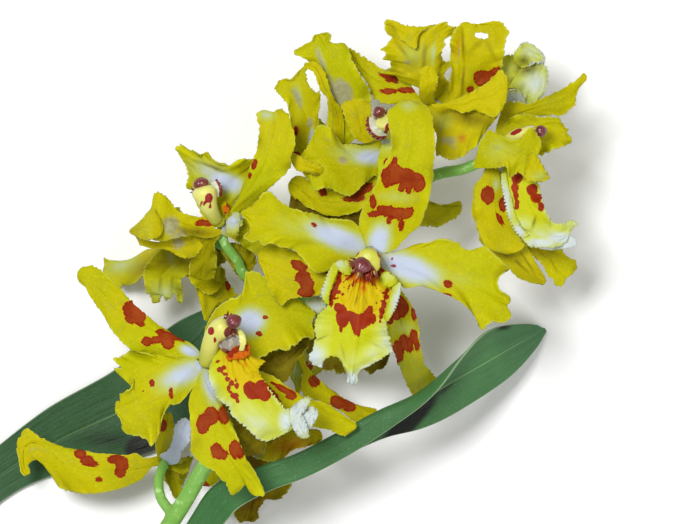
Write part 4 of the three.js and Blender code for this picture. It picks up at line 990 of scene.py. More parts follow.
column_finish = start_material("column_waxy_cream")
place = on_object()
cloud = noise(place, 260.0, 3.0)
grain = noise(place, 1800.0, 2.0)
dusk = (cloud * 2 - 0.5).tint(plain(78, 6, 0), plain(150, 44, 4))
fleck = (attribute("blotch") + (noise(place, 900.0, 2.0) - 0.5) * 1.6).step(-0.2, 0.2)
cream = layered(
    (cloud * 1.4 - 0.2).tint(plain(222, 220, 100), plain(214, 212, 128)),
    (attribute("foot"), (186, 188, 40)),
    (attribute("wing") * (0.5 + cloud * 0.6), (186, 188, 180)),
    ((attribute("dusk") + (cloud - 0.5) * 0.5).step(0.2, 0.5), dusk),
    (fleck, (146, 16, 10)),
    # greyer and darker in the hollow of a column's throat, a painted shade
    (attribute("hollow_shade") * (0.5 + cloud * 0.8), (116, 98, 72)),
)
finish_material(cream, grain * 0.15 + 0.3, cloud * 0.6 + grain * 0.4, 0.0003, Subsurface_Weight=0.15,
                Subsurface_Scale=0.001, Subsurface_Radius=(1.0, 0.85, 0.3))
cap_finish = start_material("anther_cap_wine_red")
place = on_object()
cloud = noise(place, 420.0, 3.0)
grain = noise(place, 2600.0, 2.0)
wine = (cloud * 1.6 - 0.3).tint(plain(84, 20, 22), plain(124, 50, 54))
wine = (noise(place, 170.0, 2.0).step(0.48, 0.66) * 0.7).tint(wine, plain(116, 50, 14))
finish_material(wine, grain * 0.12 + 0.22, cloud * 0.5 + grain * 0.5, 0.0002, Coat_Weight=0.35,
                Coat_Roughness=0.15)


def hand_over_column(letter, rows, cap_place, cap_radii, extra=(), **looks):
    """The column of a bloom with its extra pieces, and the anther cap that sits on its end."""
    pieces = [*column(f"column_{letter}", rows, **looks), *extra]
    body = joined(f"bloom_{letter}_column_body", pieces)
    hand_over(body, column_finish, f"bloom_{letter}_column")
    cap = anther_cap(f"bloom_{letter}_cap", rows, cap_place, cap_radii)
    hand_over(cap, cap_finish, f"bloom_{letter}_anther_cap")


hand_over_column("a", [(92.6, 66.8, 51.5, 2.7), (92.3, 66.2, 55, 3.4), (92, 65.7, 58.4, 3.6),
     (91.7, 65.2, 61, 3.3)], (90.75, 64.85, 61.1), (2.25, 1.95, 1.5), hairs=70, olive=0.8, seed=3,
    dusky=[(361, 273, 19, 14)],
    blotches=[(356, 255, 5, 1.2, -42), (379, 255, 1.3, 5, -22), (381, 264, 1.2, 5)])

# Bloom b
# The second open bloom, lower on the left, of the same fleshy parts as bloom a, on a stalk of its own. Its
# left petal is the broadest of the spray and torn along its edge, and the white tip of its lip is crumpled
# and turned up.
hand_over_tepals("b", [
    knot((51.5, 40.5, 45.4), 1.5, pale=0.2),
    blade("dorsal", [(50, 41.5, 46), (48, 43.5, 46.6), (42.5, 46, 47.5), (33.8, 51, 49), (27, 56.8, 49.5),
         (22, 62, 48.5), (19.6, 63.5, 46.8)],
        [[200, 352, 194, 346, 188, 342, 182, 340, 175, 336, 168, 331, 160, 326, 152, 320, 143, 312,
         134, 304, 128, 298, 122, 291, 116, 284, 110, 278, 104, 272, 98, 269, 93, 266, 89, 266, 84, 267,
         79, 270, 77, 275],
         [196, 360, 188, 358, 178, 357, 165, 356, 152, 354, 142, 353, 132, 351, 125, 345, 119, 339,
         114, 333, 110, 327, 107, 321, 103, 314, 99, 309, 96, 305, 93, 300, 90, 296, 88, 291, 86, 287,
         82, 284, 78, 281]],
        wave=0.5, waves=2.5, cup=-0.08, seed=21, pale=[(190, 351, 16, 8, 20)],
        spots=[(131, 309, 9, 8), (137, 316, 9, 8), (131, 318, 6, 6), (141, 324, 4, 3), (147, 341, 6, 4.5),
          (157, 340, 6, 4), (165, 338, 8, 6), (168, 344, 7, 5), (176, 337, 10, 3.5, 20), (160, 332, 4, 3)]),
    blade("left_petal", [(50.5, 40, 46), (49.5, 39.4, 46.5), (45, 36.5, 48), (38.8, 33, 49),
         (33.8, 31, 49.5), (30, 30, 48)],
        [[196, 359, 185, 358, 172, 357, 158, 355, 146, 353, 134, 351, 127, 352, 123, 356, 118, 357,
         113, 359, 117, 363, 121, 367, 115, 369, 119, 374, 126, 377, 133, 378, 133, 384, 130, 389,
         124, 392, 120, 394, 121, 399, 117, 402, 115, 407],
         [204, 372, 199, 380, 193, 388, 188, 394, 183, 400, 177, 404, 170, 405, 165, 411, 162, 418,
         160, 428, 158, 436, 154, 443, 151, 446, 148, 441, 143, 438, 136, 436, 128, 434, 123, 431,
         122, 425, 121, 420, 117, 415, 115, 411]],
        cells=(84, 48), wave=1.1, waves=3.5, cup=0.04, crumple=0.45, seed=22,
        pale=[(184, 374, 42, 18, -24, 0.8), (204, 366, 18, 12)],
        spots=[(152, 383, 3, 4), (171, 393, 2, 5), (170, 408, 2, 3), (143, 391, 1.2, 1.2)]),
    blade("upper_right_petal", [(52.5, 42, 45.2), (53.8, 43.5, 45), (60, 49, 43.5), (66.3, 52.3, 42.5),
         (72.5, 52.3, 42), (78, 50.5, 41.5)],
        [[202, 356, 204, 346, 204, 338, 205, 330, 208, 322, 213, 312, 221, 304, 230, 299, 238, 297,
         243, 290, 245, 281, 245, 273, 250, 271, 256, 271, 261, 274, 270, 281, 282, 290, 296, 297,
         305, 304, 312, 310, 316, 313],
         [212, 362, 222, 359, 232, 358, 245, 358, 255, 360, 262, 357, 272, 352, 280, 349, 288, 351,
         292, 346, 298, 344, 302, 339, 307, 337, 313, 339, 314, 333, 312, 325, 313, 319, 316, 315]],
        cells=(76, 44), wave=0.9, cup=0.04, seed=23, pale=[(250, 322, 24, 21, -20)],
        spots=[(265, 317, 3, 2.5), (259, 334, 3, 2.5)]),
    blade("lower_sepal", [(51.2, 39, 46.5), (50.8, 35.5, 47), (52.3, 29.8, 48), (54.3, 22.3, 49.5),
         (57.3, 15.5, 50), (60.5, 11, 49), (62.3, 7.5, 47.5)],
        [[202, 368, 200, 375, 195, 385, 190, 395, 189, 405, 190, 420, 191, 440, 191, 452, 196, 458,
         201, 464, 207, 467, 212, 470, 217, 475, 222, 480, 228, 487, 231, 495, 235, 494, 239, 491,
         243, 487, 245, 483],
         [208, 368, 209, 378, 211, 385, 214, 392, 218, 398, 222, 404, 226, 410, 229, 418, 232, 425,
         236, 433, 240, 443, 243, 451, 246, 458, 250, 464, 256, 473, 260, 482, 263, 489, 264, 495,
         258, 496, 254, 495, 250, 492, 249, 487, 246, 484]],
        wave=0.5, waves=2.6, cup=-0.06, seed=24, pale=[(210, 386, 12, 32, -15, 0.8)],
        spots=[(203, 424, 7, 10), (211, 416, 8, 9), (224, 415, 6, 10), (217, 451, 7, 8), (223, 455, 5, 5),
          (235, 449, 6, 9), (240, 453, 4, 6)]),
    blade("curled_tip", (39.6, 40, 39.6),
        [[305, 303, 309, 299, 314, 297, 320, 298, 326, 303],
         [309, 309, 313, 314, 317, 317, 322, 314, 326, 306]],
        cells=(32, 20), wave=0.3, seed=33, pale=[(316, 306, 30, 26, 0, 0.6)],
        dark=[(318, 314, 10, 3, -30, 0.5)]),
    # a dark sheet of painted shade, standing in the shadow below the lips, that hides the spike
    blade("shaded_under_sheet", (44.4, 40, 36.6, 36.8, 37, 36.4),
        [[206, 360, 232, 360, 258, 358, 268, 352, 279, 349, 290, 345, 300, 338, 311, 333],
         [208, 366, 236, 371, 262, 374, 272, 380, 283, 384, 290, 376, 297, 360, 310, 346]],
        cells=(48, 24), wave=0.5, crumple=0.4, seed=34, shade=0.85),
    blade("shaded_sepal", (44, 38.5, 36, 36.6, 36),
        [[204, 366, 214, 384, 224, 400, 229, 413, 235, 430, 241, 446, 246, 458],
         [210, 364, 224, 382, 240, 402, 250, 418, 260, 434, 266, 444, 262, 456]],
        cells=(48, 20), wave=0.4, seed=35, shade=0.85),
    blade("right_lateral", [(52.5, 39.5, 45.5), (54, 38, 45), (62.5, 34.8, 43.5), (71.3, 31.5, 42),
         (80, 27.8, 40), (86.3, 24.8, 38), (88.5, 24, 37)],
        [[208, 364, 232, 366, 258, 371, 264, 373, 270, 375, 276, 378, 283, 383, 290, 388, 297, 393,
         303, 397, 312, 400, 322, 402, 332, 407, 342, 414, 352, 421, 358, 425],
         [206, 372, 232, 378, 262, 386, 270, 396, 279, 403, 290, 412, 300, 420, 310, 426, 320, 428,
         330, 430, 337, 434, 343, 436, 350, 433, 356, 428]],
        wave=0.4, waves=2.5, seed=25, tone=0.3,
        spots=[(285, 390, 15, 3, 28), (291, 396, 6, 4), (271, 391, 13, 2.5, 48)]),
])
hand_over_lip("b", [
    lip_blade("lip", [(55, 45, 50), (56, 44, 50.5), (59.5, 39, 52), (62.5, 34, 53), (66.3, 29, 53.5),
         (70.5, 26.5, 53), (72, 26.3, 52.5)],
        [[219, 346, 217, 350, 214, 357, 211, 364, 209, 371, 209, 378, 211, 385, 214, 392, 218, 398,
         223, 403, 229, 406, 230, 412, 234, 417, 238, 421, 243, 424, 248, 429, 252, 433, 256, 437,
         261, 440, 267, 441, 273, 439, 279, 436, 285, 433, 290, 430],
         [240, 346, 250, 352, 254, 358, 264, 361, 260, 366, 258, 371, 262, 378, 267, 386, 272, 393,
         279, 402, 285, 409, 290, 410, 291, 418, 290, 425]],
        cells=(96, 64), wave=0.7, waves=4, crumple=0.4, cup=-0.04, fringe=1.5, seed=26,
        callus=(243, 360, 19, 21, -38, 1.8), white_rim=0.5,
        gold=[(246, 364, 30, 36, -38, 0.85), (243, 349, 22, 14, 10, 1.7)],
        pale=[(286, 422, 14, 22), (258, 424, 52, 30, 30, 0.5), (212, 390, 10, 32, -18, 0.8)],
        spots=[(218, 362, 2.8, 1.4, -20), (220, 370, 3.4, 3), (224, 368, 2.4, 2.4), (225, 374, 3.4, 2),
          (228, 379, 3, 2.6), (232, 383, 3, 3), (229, 388, 2.4, 3.4), (236, 380, 1.6, 2.6),
          (237, 386, 2.2, 3), (231, 392, 3, 1.6), (235, 396, 4.4, 3.2), (238, 401, 2.4, 2.6),
          (250, 389, 7, 8), (253, 395, 7, 5), (261, 388, 7, 8), (265, 395, 6, 6), (258, 393, 7, 6)]),
    lip_blade("callus_fan", (53, 53.8, 53.2),
        [[226, 357, 231, 350, 237, 345, 242, 342, 247, 343, 250, 347],
         [228, 361, 234, 359, 240, 359, 245, 358, 250, 353]],
        cells=(40, 28), wave=0.3, crumple=0.5, groove=0, seed=32, fringe=0.8,
        gold=[(238, 352, 40, 40, 0, 2)],
        spots=[(236, 350, 8, 3, -28), (243, 346, 5, 2.4), (247, 350, 2, 2), (231, 355, 3, 3)]),
    lip_blade("lip_tip", (52, 53, 53.8, 53.2),
        [[286, 412, 291, 408, 297, 403, 303, 399, 309, 397, 311, 400],
         [288, 432, 293, 428, 299, 421, 303, 413, 307, 407, 310, 402]],
        cells=(44, 32), waves=2.3, crumple=0.6, cup=-0.2, seed=27, fringe=1.0, pale=[(300, 412, 34, 30)]),
    lip_blade("lip_fold", (52.4, 53.6, 54.2, 53),
        [[291, 420, 293, 427, 296, 433, 301, 437, 307, 438],
         [298, 411, 303, 416, 306, 424, 308, 430, 309, 437]],
        cells=(40, 28), wave=0.7, waves=2.6, crumple=0.6, cup=-0.25, seed=28, fringe=1.0,
        pale=[(300, 424, 34, 30)]),
    lip_blade("lip_curl", (51.6, 52.6, 53, 52.6),
        [[302, 414, 306, 409, 311, 407, 316, 409, 318, 413],
         [305, 427, 309, 428, 313, 424, 316, 419, 318, 415]],
        cells=(32, 24), wave=0.6, waves=2.2, crumple=0.5, cup=-0.2, seed=29, fringe=1.0,
        pale=[(310, 418, 30, 30)]),
])
throat = blade("throat_b", (52.4, 52.6, 52.8, 52.6),
    [[221, 336, 219, 341, 220, 347, 225, 352],
     [237, 335, 240, 340, 239, 345, 233, 350]],
    cells=(30, 24), wave=0.0, crumple=0.1, cup=0.6, groove=0.0, seed=30)
store(throat, "wing", 1.3)
# dark red-brown along the edges of the throat for its dark hairs, and painted shade at its top
dab(throat, "dusk", [(220, 339, 6, 9, 20, 0.9), (224, 351, 8, 4, 0, 0.9), (231, 335, 8, 3, 0, 0.8)])
# the second dab greys the hollow of the throat as painted shade
dab(throat, "hollow_shade", [(230, 343, 22, 22, 0, 0.8)])
flank = blade("flank_b", (54.4, 55.6, 55.6, 54.6),
    [[238, 329, 239, 336, 240, 343, 239, 351],
     [241, 330, 245, 336, 246, 343, 243, 351]],
    cells=(30, 16), wave=0.1, crumple=0.1, cup=-0.2, groove=0.0, seed=31)
hand_over_column("b", [(51.6, 40.4, 46.6, 2.1), (52.7, 44.8, 51, 2.5), (54.5, 48.2, 53.4, 2.8),
     (57.6, 49.8, 54.8, 2.8)], (58.5, 50.7, 56.8), (1.9, 1.8, 1.6), wings=0.7, hairs=60, olive=0.15,
    seed=4, dusky=[(231, 333, 9, 8)], blotches=[(211, 331, 3, 4.5), (215, 340, 1.5, 3)],
    extra=[throat, flank])

# Bloom c
# Built like bloom a, on a stalk to the left. It looks away to the upper left, so its column shows from
# behind and its tepals from the side. The lower left sepal arches up and is folded over at its end.
hand_over_tepals("c", [
    knot((55.6, 74.2, 35.6), 1.4, pale=0.1),
    knot((54.7, 75.8, 38.4), 1.7, pale=0.1),
    blade("upper_left_petal", [(55, 76, 38.2), (55.5, 79.5, 38.5), (54.8, 84.5, 39), (53.8, 88.5, 39.5),
         (51, 93, 39.5)],
        [[214, 216, 206, 208, 200, 202, 192, 190, 187, 188, 186, 184, 188, 178, 188, 172, 186, 166,
         182, 159, 178, 152, 175, 148, 180, 145, 183, 146, 186, 149, 189, 151, 192, 150, 195, 153,
         199, 155, 203, 155],
         [222, 216, 230, 210, 236, 200, 244, 186, 248, 175, 250, 168, 254, 160, 248, 159, 242, 159,
         237, 161, 237, 166, 232, 166, 226, 165, 219, 163, 214, 160, 211, 157, 208, 153, 205, 151]],
        cells=(72, 44), wave=1.0, crumple=0.5, seed=31, dark=[(213, 167, 26, 2.6, 20)],
        pale=[(226, 182, 32, 15, 20), (208, 172, 34, 16, 20, 0.5)]),
    blade("upright_sepal", [(56, 76, 39.5), (57.5, 78, 40.8), (61.5, 82.3, 43), (65.5, 88.5, 44.5),
         (68, 94.8, 45), (69, 100, 44.5), (68.3, 103, 43.5)],
        [[228, 218, 232, 212, 236, 204, 240, 195, 243, 186, 247, 176, 250, 167, 253, 159, 256, 152,
         258, 142, 259, 132, 259, 124, 257, 119, 257, 115, 260, 111, 267, 111, 272, 113],
         [236, 216, 240, 212, 248, 208, 254, 204, 260, 197, 267, 190, 275, 183, 283, 176, 288, 171,
         291, 165, 291, 158, 293, 151, 295, 144, 295, 136, 294, 131, 291, 124, 289, 115, 285, 112,
         281, 109, 275, 111]],
        wave=0.6, waves=2.6, cup=-0.08, seed=32, pale=[(266, 115, 14, 9, 0, 0.45)],
        spots=[(255, 162, 2.5, 3.5), (254, 166, 3, 3.5), (250, 175, 1.5, 2.5)]),
    blade("lower_left_sepal", [(53.5, 74, 38), (49, 74.3, 38.5), (43.8, 76, 40), (40, 76.8, 41.5),
         (36.3, 75, 40.5), (33, 73, 38)],
        [[229, 214, 220, 219, 207, 217, 198, 217, 190, 215, 183, 213, 178, 211, 173, 205, 169, 200,
         165, 196, 161, 193, 157, 192, 154, 195, 153, 200, 152, 207, 147, 214, 141, 221, 135, 226,
         129, 231],
         [229, 232, 222, 234, 215, 237, 207, 238, 199, 237, 193, 235, 186, 236, 176, 238, 168, 240,
         160, 241, 152, 240, 144, 239, 136, 236, 130, 233]],
        wave=0.6, waves=2.5, cup=-0.2, seed=33, tone=0.3,
        stain=[(171, 226, 13, 15, 0, 2.0), (180, 236, 10, 8, 0, 1.7)],
        dark=[(196, 232, 30, 8, 4), (164, 226, 3, 14, 8, 0.7)], spots=[(204, 223, 9, 3.2)]),
    blade("folded_end", (41.6, 43.2, 42.6, 38.6),
        [[163, 228, 160, 219, 156, 213, 153, 208, 149, 210, 143, 218, 136, 225, 129, 231],
         [163, 230, 161, 234, 158, 237, 152, 239, 144, 239, 136, 236, 130, 233]],
        cells=(40, 20), wave=0.4, crumple=0.2, seed=34, tone=1.0, pale=[(146, 222, 30, 26, 0, 0.1)]),
    blade("right_petal", [(55.5, 74, 37.8, 1.5, 1.5), (60, 73, 36.5, 3.5, 2.5), (65, 70.8, 35.5, 5, 3.5),
         (69, 69, 35, 5, 4), (72, 68.4, 34.5, 4, 4)], cells=(44, 24), wave=0.7, seed=35, foot=0.6,
        shade=0.25),
    blade("lower_right_sepal", [(54, 73, 37.2, 1.5, 1.5), (52, 70.5, 35.2, 1.8, 1.8),
         (51, 65.5, 32.5, 3.2, 3.4), (50, 61, 30, 3, 3)], cells=(40, 20), seed=36, shade=0.45),
    blade("white_foot", (39, 40, 40.5, 40),
        [[226, 218, 229, 212, 235, 209, 239, 212, 240, 217, 243, 221],
         [227, 232, 232, 236, 235, 240, 238, 234, 239, 228, 243, 224]],
        cells=(36, 28), wave=0.5, crumple=0.5, groove=0.5, seed=37, pale=[(233, 221, 15, 18, 0, 0.7)],
        dark=[(236, 238, 8, 7)]),
    blade("under_fold", (34, 35, 35, 34),
        [[136, 237, 146, 240, 158, 242, 170, 239, 182, 235, 196, 234, 205, 236],
         [140, 245, 150, 248, 163, 249, 172, 252, 180, 257, 191, 258, 199, 252, 206, 242]],
        cells=(52, 24), wave=0.5, seed=40, tone=0.5, shade=0.1, stain=[(178, 244, 10, 8, 0, 1.4)]),
])
hand_over_lip("c", [
    lip_blade("lip", [(54.6, 74.4, 36.2, 2.3, 2.3), (53.8, 80, 31, 4.4, 4.6), (53.4, 84, 27, 4.8, 5.2),
         (53, 87.5, 24, 4.6, 5), (52, 90, 22, 2.6, 2.6)], cells=(72, 48), wave=0.7, waves=3.5, seed=38,
        bands=(0.35, 0.5)),
    lip_blade("callus_ridge", (40, 41.5, 41),
        [[221, 205, 223, 210, 226, 215],
         [226, 202, 229, 208, 228, 215]],
        cells=(24, 12), wave=0.1, crumple=0.1, cup=-0.3, groove=0, seed=39,
        gold=[(226, 209, 14, 16, 0, 1.1)], spots=[(228, 205, 1.6, 3.4), (226, 213, 1.6, 1.4)]),
])
wing = toothed_wing("wing_c", (44, 44.6, 44), [211, 183, 213, 190, 214, 197],
    [217, 179, 221, 187, 221, 197], seed=41)
hand_over_column("c", [(53.9, 76.2, 39.7, 1.9), (52.8, 78.2, 42.6, 2.2), (52, 80, 44, 2.7),
     (51.3, 82.4, 45, 3.2), (50.8, 84.8, 45.2, 2.9)], (50.3, 85.1, 45.6), (2.0, 1.5, 1.4), wings=0.6,
    hairs=6, seed=5,
    blotches=[(209, 198, 4, 5), (205, 203, 1, 4, 30), (201, 204, 1, 3, 20), (210, 206, 1.5, 3)],
    extra=[wing])

# Bloom d
# Built like bloom a, on a stalk behind the dorsal sepal of bloom a. A short bright sepal rises over its
# left petal, and only a small part of its column shows.
hand_over_tepals("d", [
    knot((97, 96, 36)),
    blade("left_petal", [(96, 94.8, 36), (94.5, 93.6, 36.5), (90, 91, 37.5), (83.8, 91, 38.5),
         (78, 91, 39), (74.6, 91, 38.5)],
        [[386, 136, 376, 142, 364, 146, 352, 144, 342, 144, 336, 136, 331, 129, 325, 125, 319, 125,
         314, 132, 310, 142, 305, 150, 300, 157],
         [388, 150, 386, 160, 383, 169, 378, 176, 373, 176, 367, 181, 361, 187, 355, 193, 349, 196,
         343, 195, 336, 192, 330, 189, 323, 188, 317, 190, 313, 190, 311, 183, 306, 177, 302, 170,
         299, 163]],
        cells=(76, 44), wave=0.9, waves=3.2, crumple=0.45, seed=41, stain=[(343, 160, 7, 7, 0, 1.4)],
        gold=[(343, 160, 5, 5, 0, 0.7)], pale=[(372, 157, 36, 13, 2, 0.85), (356, 154, 34, 14, 6, 0.45)]),
    blade("left_lateral", [(96.5, 93, 35.2), (95.5, 88.5, 34.5), (91.3, 83.3, 33.5), (85, 80.3, 33),
         (78.8, 81, 33), (74.3, 84, 33.5), (72, 85, 34)],
        [[388, 148, 385, 158, 378, 169, 367, 179, 354, 188, 340, 192, 325, 188, 312, 183, 304, 177,
         297, 176, 290, 180],
         [394, 160, 392, 172, 384, 184, 376, 196, 366, 205, 360, 210, 350, 214, 338, 216, 326, 215,
         314, 210, 305, 206, 300, 201, 293, 197, 289, 191, 288, 185]],
        wave=0.6, cup=-0.1, seed=42, tone=0.3,
        spots=[(366, 188, 8, 5, -30), (357, 196, 8, 6), (348, 199, 5, 3), (323, 192, 4, 5)]),
    blade("ruffle", (38.6, 40.6, 41, 39.6),
        [[291, 152, 298, 155, 304, 159, 310, 162, 317, 164, 324, 169],
         [292, 163, 297, 170, 303, 172, 309, 173, 316, 175, 322, 174]],
        cells=(48, 16), wave=0.5, waves=2.5, crumple=0.2, seed=49, tone=0.6,
        dark=[(311, 173, 16, 3, 8, 0.9)]),
    # a dark sheet of painted shade, standing in the shadow under the left lateral sepal
    blade("shade_band_under_lateral", (31, 30.6, 30),
        [[292, 188, 305, 200, 330, 208, 352, 208, 368, 200],
         [288, 212, 305, 224, 330, 226, 352, 228, 370, 216]],
        cells=(56, 20), wave=0.4, seed=47, tone=0.5, shade=0.9),
    blade("upper_left_sepal", (38, 39, 39.8, 39.5),
        [[380, 138, 366, 143, 356, 139, 352, 134, 349, 128, 346, 120, 343, 112, 341, 105, 346, 101],
         [384, 132, 376, 136, 373, 137, 371, 132, 370, 125, 371, 115, 371, 106, 366, 100, 358, 98]],
        cells=(48, 28), wave=0.3, crumple=0.1, seed=43, tone=0.7),
    blade("right_lateral", [(97.5, 94, 35.2), (98.5, 91, 34.5), (101, 85.5, 34), (106.5, 79.8, 30.5),
         (112, 78, 26)],
        [[392, 152, 398, 170, 410, 186, 422, 198, 428, 202, 435, 204, 445, 205, 453, 203, 459, 201,
         462, 204],
         [386, 156, 390, 176, 400, 198, 412, 214, 421, 226, 430, 226, 437, 227, 441, 226, 450, 221,
         458, 216, 462, 209]],
        wave=0.6, seed=44, shade=0.15),
    blade("right_petal", [(98, 96.5, 36.4, 1.5), (100, 97, 36.8, 3), (103, 98.5, 37.5, 4),
         (105.2, 99.6, 37.6, 3.6)], cells=(40, 24), seed=45, foot=0.6),
])
hand_over_lip("d", [
    lip_blade("lip", [(97.3, 95.4, 37.2, 2), (99, 90.5, 40.8, 5), (101, 86, 41.6, 5.5),
         (102.5, 82, 41, 2.5)], cells=(64, 48), wave=0.6, waves=3.5, seed=46, bands=(0.3, 0.5), foot=0.5),
])
wing = toothed_wing("wing_d", (43, 44, 44, 43), [378, 118, 379, 125, 382, 131, 387, 134],
    [367, 117, 367, 125, 370, 132, 377, 138, 386, 138], teeth=6.5, seed=48)
hand_over_column("d", [(96.8, 98, 37.6, 2.2), (96.5, 99.4, 41, 2.6), (96.2, 100.4, 43.2, 2.7),
     (95.7, 101.4, 44.4, 2.4)], (94.8, 102.8, 44.6), (1.6, 1.3, 1.2), wings=0.5, hairs=4, seed=6,
    blotches=[(388, 127, 3, 4), (382, 136, 2.5, 2), (386, 132, 2, 3)], extra=[wing])

# Bloom e
# Built like bloom a, but grown onto the end of the stem itself, and seen from its side. One petal is
# raised in front of the column, and the lip hangs below it with a toothed white margin.
hand_over_tepals("e", [
    knot((123, 91.5, 36)),
    blade("dorsal", [(124, 93.5, 35.8), (125.5, 98, 35), (129.5, 102.3, 34), (135, 104.5, 32),
         (141.3, 106.5, 33.5), (146.6, 111.8, 36)],
        [[492, 146, 498, 122, 505, 103, 512, 102, 520, 102, 527, 104, 533, 103, 540, 99, 548, 96, 556, 92,
         564, 88, 572, 83, 579, 78, 584, 73, 588, 78],
         [498, 150, 500, 132, 503, 122, 508, 119, 515, 115, 524, 113, 533, 115, 542, 116, 552, 115,
         560, 116, 566, 113, 570, 109, 575, 104, 575, 98, 577, 92, 580, 85, 585, 81]],
        wave=0.5, waves=2.5, seed=51, tone=0.3),
    blade("upper_petal", [(124, 92.8, 35.6), (125.5, 95.3, 35), (129.5, 98, 36), (133.8, 98.8, 36.3),
         (138.8, 98.4, 36), (142, 97, 35)],
        [[496, 148, 500, 134, 505, 124, 510, 118, 518, 115, 528, 114, 540, 117, 553, 117, 560, 119,
         560, 123, 563, 124, 565, 129, 569, 128],
         [500, 154, 506, 144, 510, 140, 520, 144, 535, 152, 542, 155, 548, 152, 555, 149, 562, 147,
         569, 144, 572, 140, 571, 138, 564, 135, 568, 131]],
        wave=0.7, crumple=0.4, seed=52, tone=0.1),
    blade("front_petal", (40, 43, 45, 45.5, 45, 44.5),
        [[474, 166, 476, 158, 478, 150, 480, 142, 484, 136, 489, 130, 496, 133, 503, 136, 508, 139,
         515, 140, 521, 138, 525, 133, 530, 128, 536, 132, 540, 140, 541, 147, 537, 153, 540, 161,
         544, 168, 548, 174, 550, 178],
         [474, 168, 484, 168, 490, 168, 498, 168, 504, 166, 507, 168, 508, 173, 510, 177, 514, 175,
         518, 172, 522, 175, 525, 178, 528, 181, 532, 180, 537, 182, 545, 180]],
        cells=(76, 36), waves=2.6, crumple=0.4, seed=53, pale=[(498, 150, 30, 20, 0, 0.22)],
        stain=[(500, 148, 12, 8, 0, 0.5)]),
    blade("folded_end", (46, 47.1, 46.8, 45.4),
        [[529, 156, 534, 154, 538, 159, 542, 165, 546, 172, 550, 178],
         [527, 161, 526, 170, 525, 177, 527, 182, 533, 181, 541, 182, 549, 179]],
        cells=(44, 24), wave=0.4, cup=-0.1, groove=-0.3, seed=57, tone=0.4,
        pale=[(538, 176, 16, 9, 0, 0.3)]),
    blade("petal_claw", (36.6, 40.5, 44.6),
        [[486, 164, 492, 162, 499, 163],
         [492, 150, 500, 149, 508, 152]],
        cells=(24, 12), wave=0, crumple=0.1, seed=50),
    blade("left_lateral", [(122.8, 88, 35), (122.3, 83.5, 34), (123.5, 77.3, 33), (127, 71, 31),
         (131.8, 65.5, 28.5), (136.5, 60.3, 25.5)],
        [[486, 162, 485, 168, 483, 175, 478, 181, 474, 186, 473, 195, 472, 203, 471, 210, 473, 218,
         476, 224, 478, 234, 480, 240, 483, 245, 490, 250, 497, 258, 505, 266, 511, 271, 517, 277,
         525, 281, 533, 283, 540, 284, 547, 284],
         [498, 162, 500, 172, 501, 185, 503, 196, 508, 205, 507, 212, 511, 222, 515, 229, 520, 237,
         526, 245, 531, 253, 535, 262, 540, 270, 545, 278]],
        wave=0.5, waves=2.5, cup=-0.1, seed=54, tone=0.4,
        spots=[(488, 195, 7, 9), (504, 204, 4, 8), (500, 219, 3, 7)],
        dark=[(505, 256, 26, 7, 14), (517, 262, 2, 22, -48, 1.1), (527, 262, 2, 22, -32, 0.8)]),
    blade("lateral_front", (36.4, 36, 35.4, 34.4, 33),
        [[487, 164, 483, 175, 477, 184, 475, 194, 474, 205, 475, 217, 479, 232, 484, 243, 490, 249,
         498, 252, 507, 254],
         [498, 168, 501, 182, 503, 194, 506, 205, 508, 215, 513, 226, 519, 237, 524, 245, 521, 250,
         515, 252, 508, 254]],
        cells=(80, 28), wave=0.4, waves=2.5, cup=-0.1, seed=58, tone=0.5, groove=0,
        spots=[(488, 195, 7, 9), (503, 204, 4, 8), (500, 219, 2.6, 7, -30)],
        pale=[(496, 184, 6, 12, 0, 0.5)]),
    blade("right_lateral", [(124, 90, 34.5, 1.5, 1.5), (126.3, 87.3, 32, 2.2, 2.2),
         (130, 77.3, 28.5, 3, 3), (133.8, 69.8, 26, 3.5, 3.5), (138, 65.5, 24, 4.5, 4.5),
         (141.5, 62.3, 23, 4.5, 4.5)],
        [[496, 162, 508, 180, 522, 214, 534, 244, 545, 250, 561, 250, 565, 254, 570, 258, 574, 260,
         577, 263, 575, 272, 570, 275, 567, 276],
         [492, 166, 500, 184, 510, 218, 522, 246, 534, 257, 540, 262, 545, 268, 546, 273, 549, 277,
         553, 279, 554, 283, 558, 286, 562, 286, 565, 281]],
        wave=0.6, seed=55, tone=0.2, dark=[(534, 250, 30, 9, 10, 0.8), (552, 262, 2, 14, -30, 0.5)]),
])
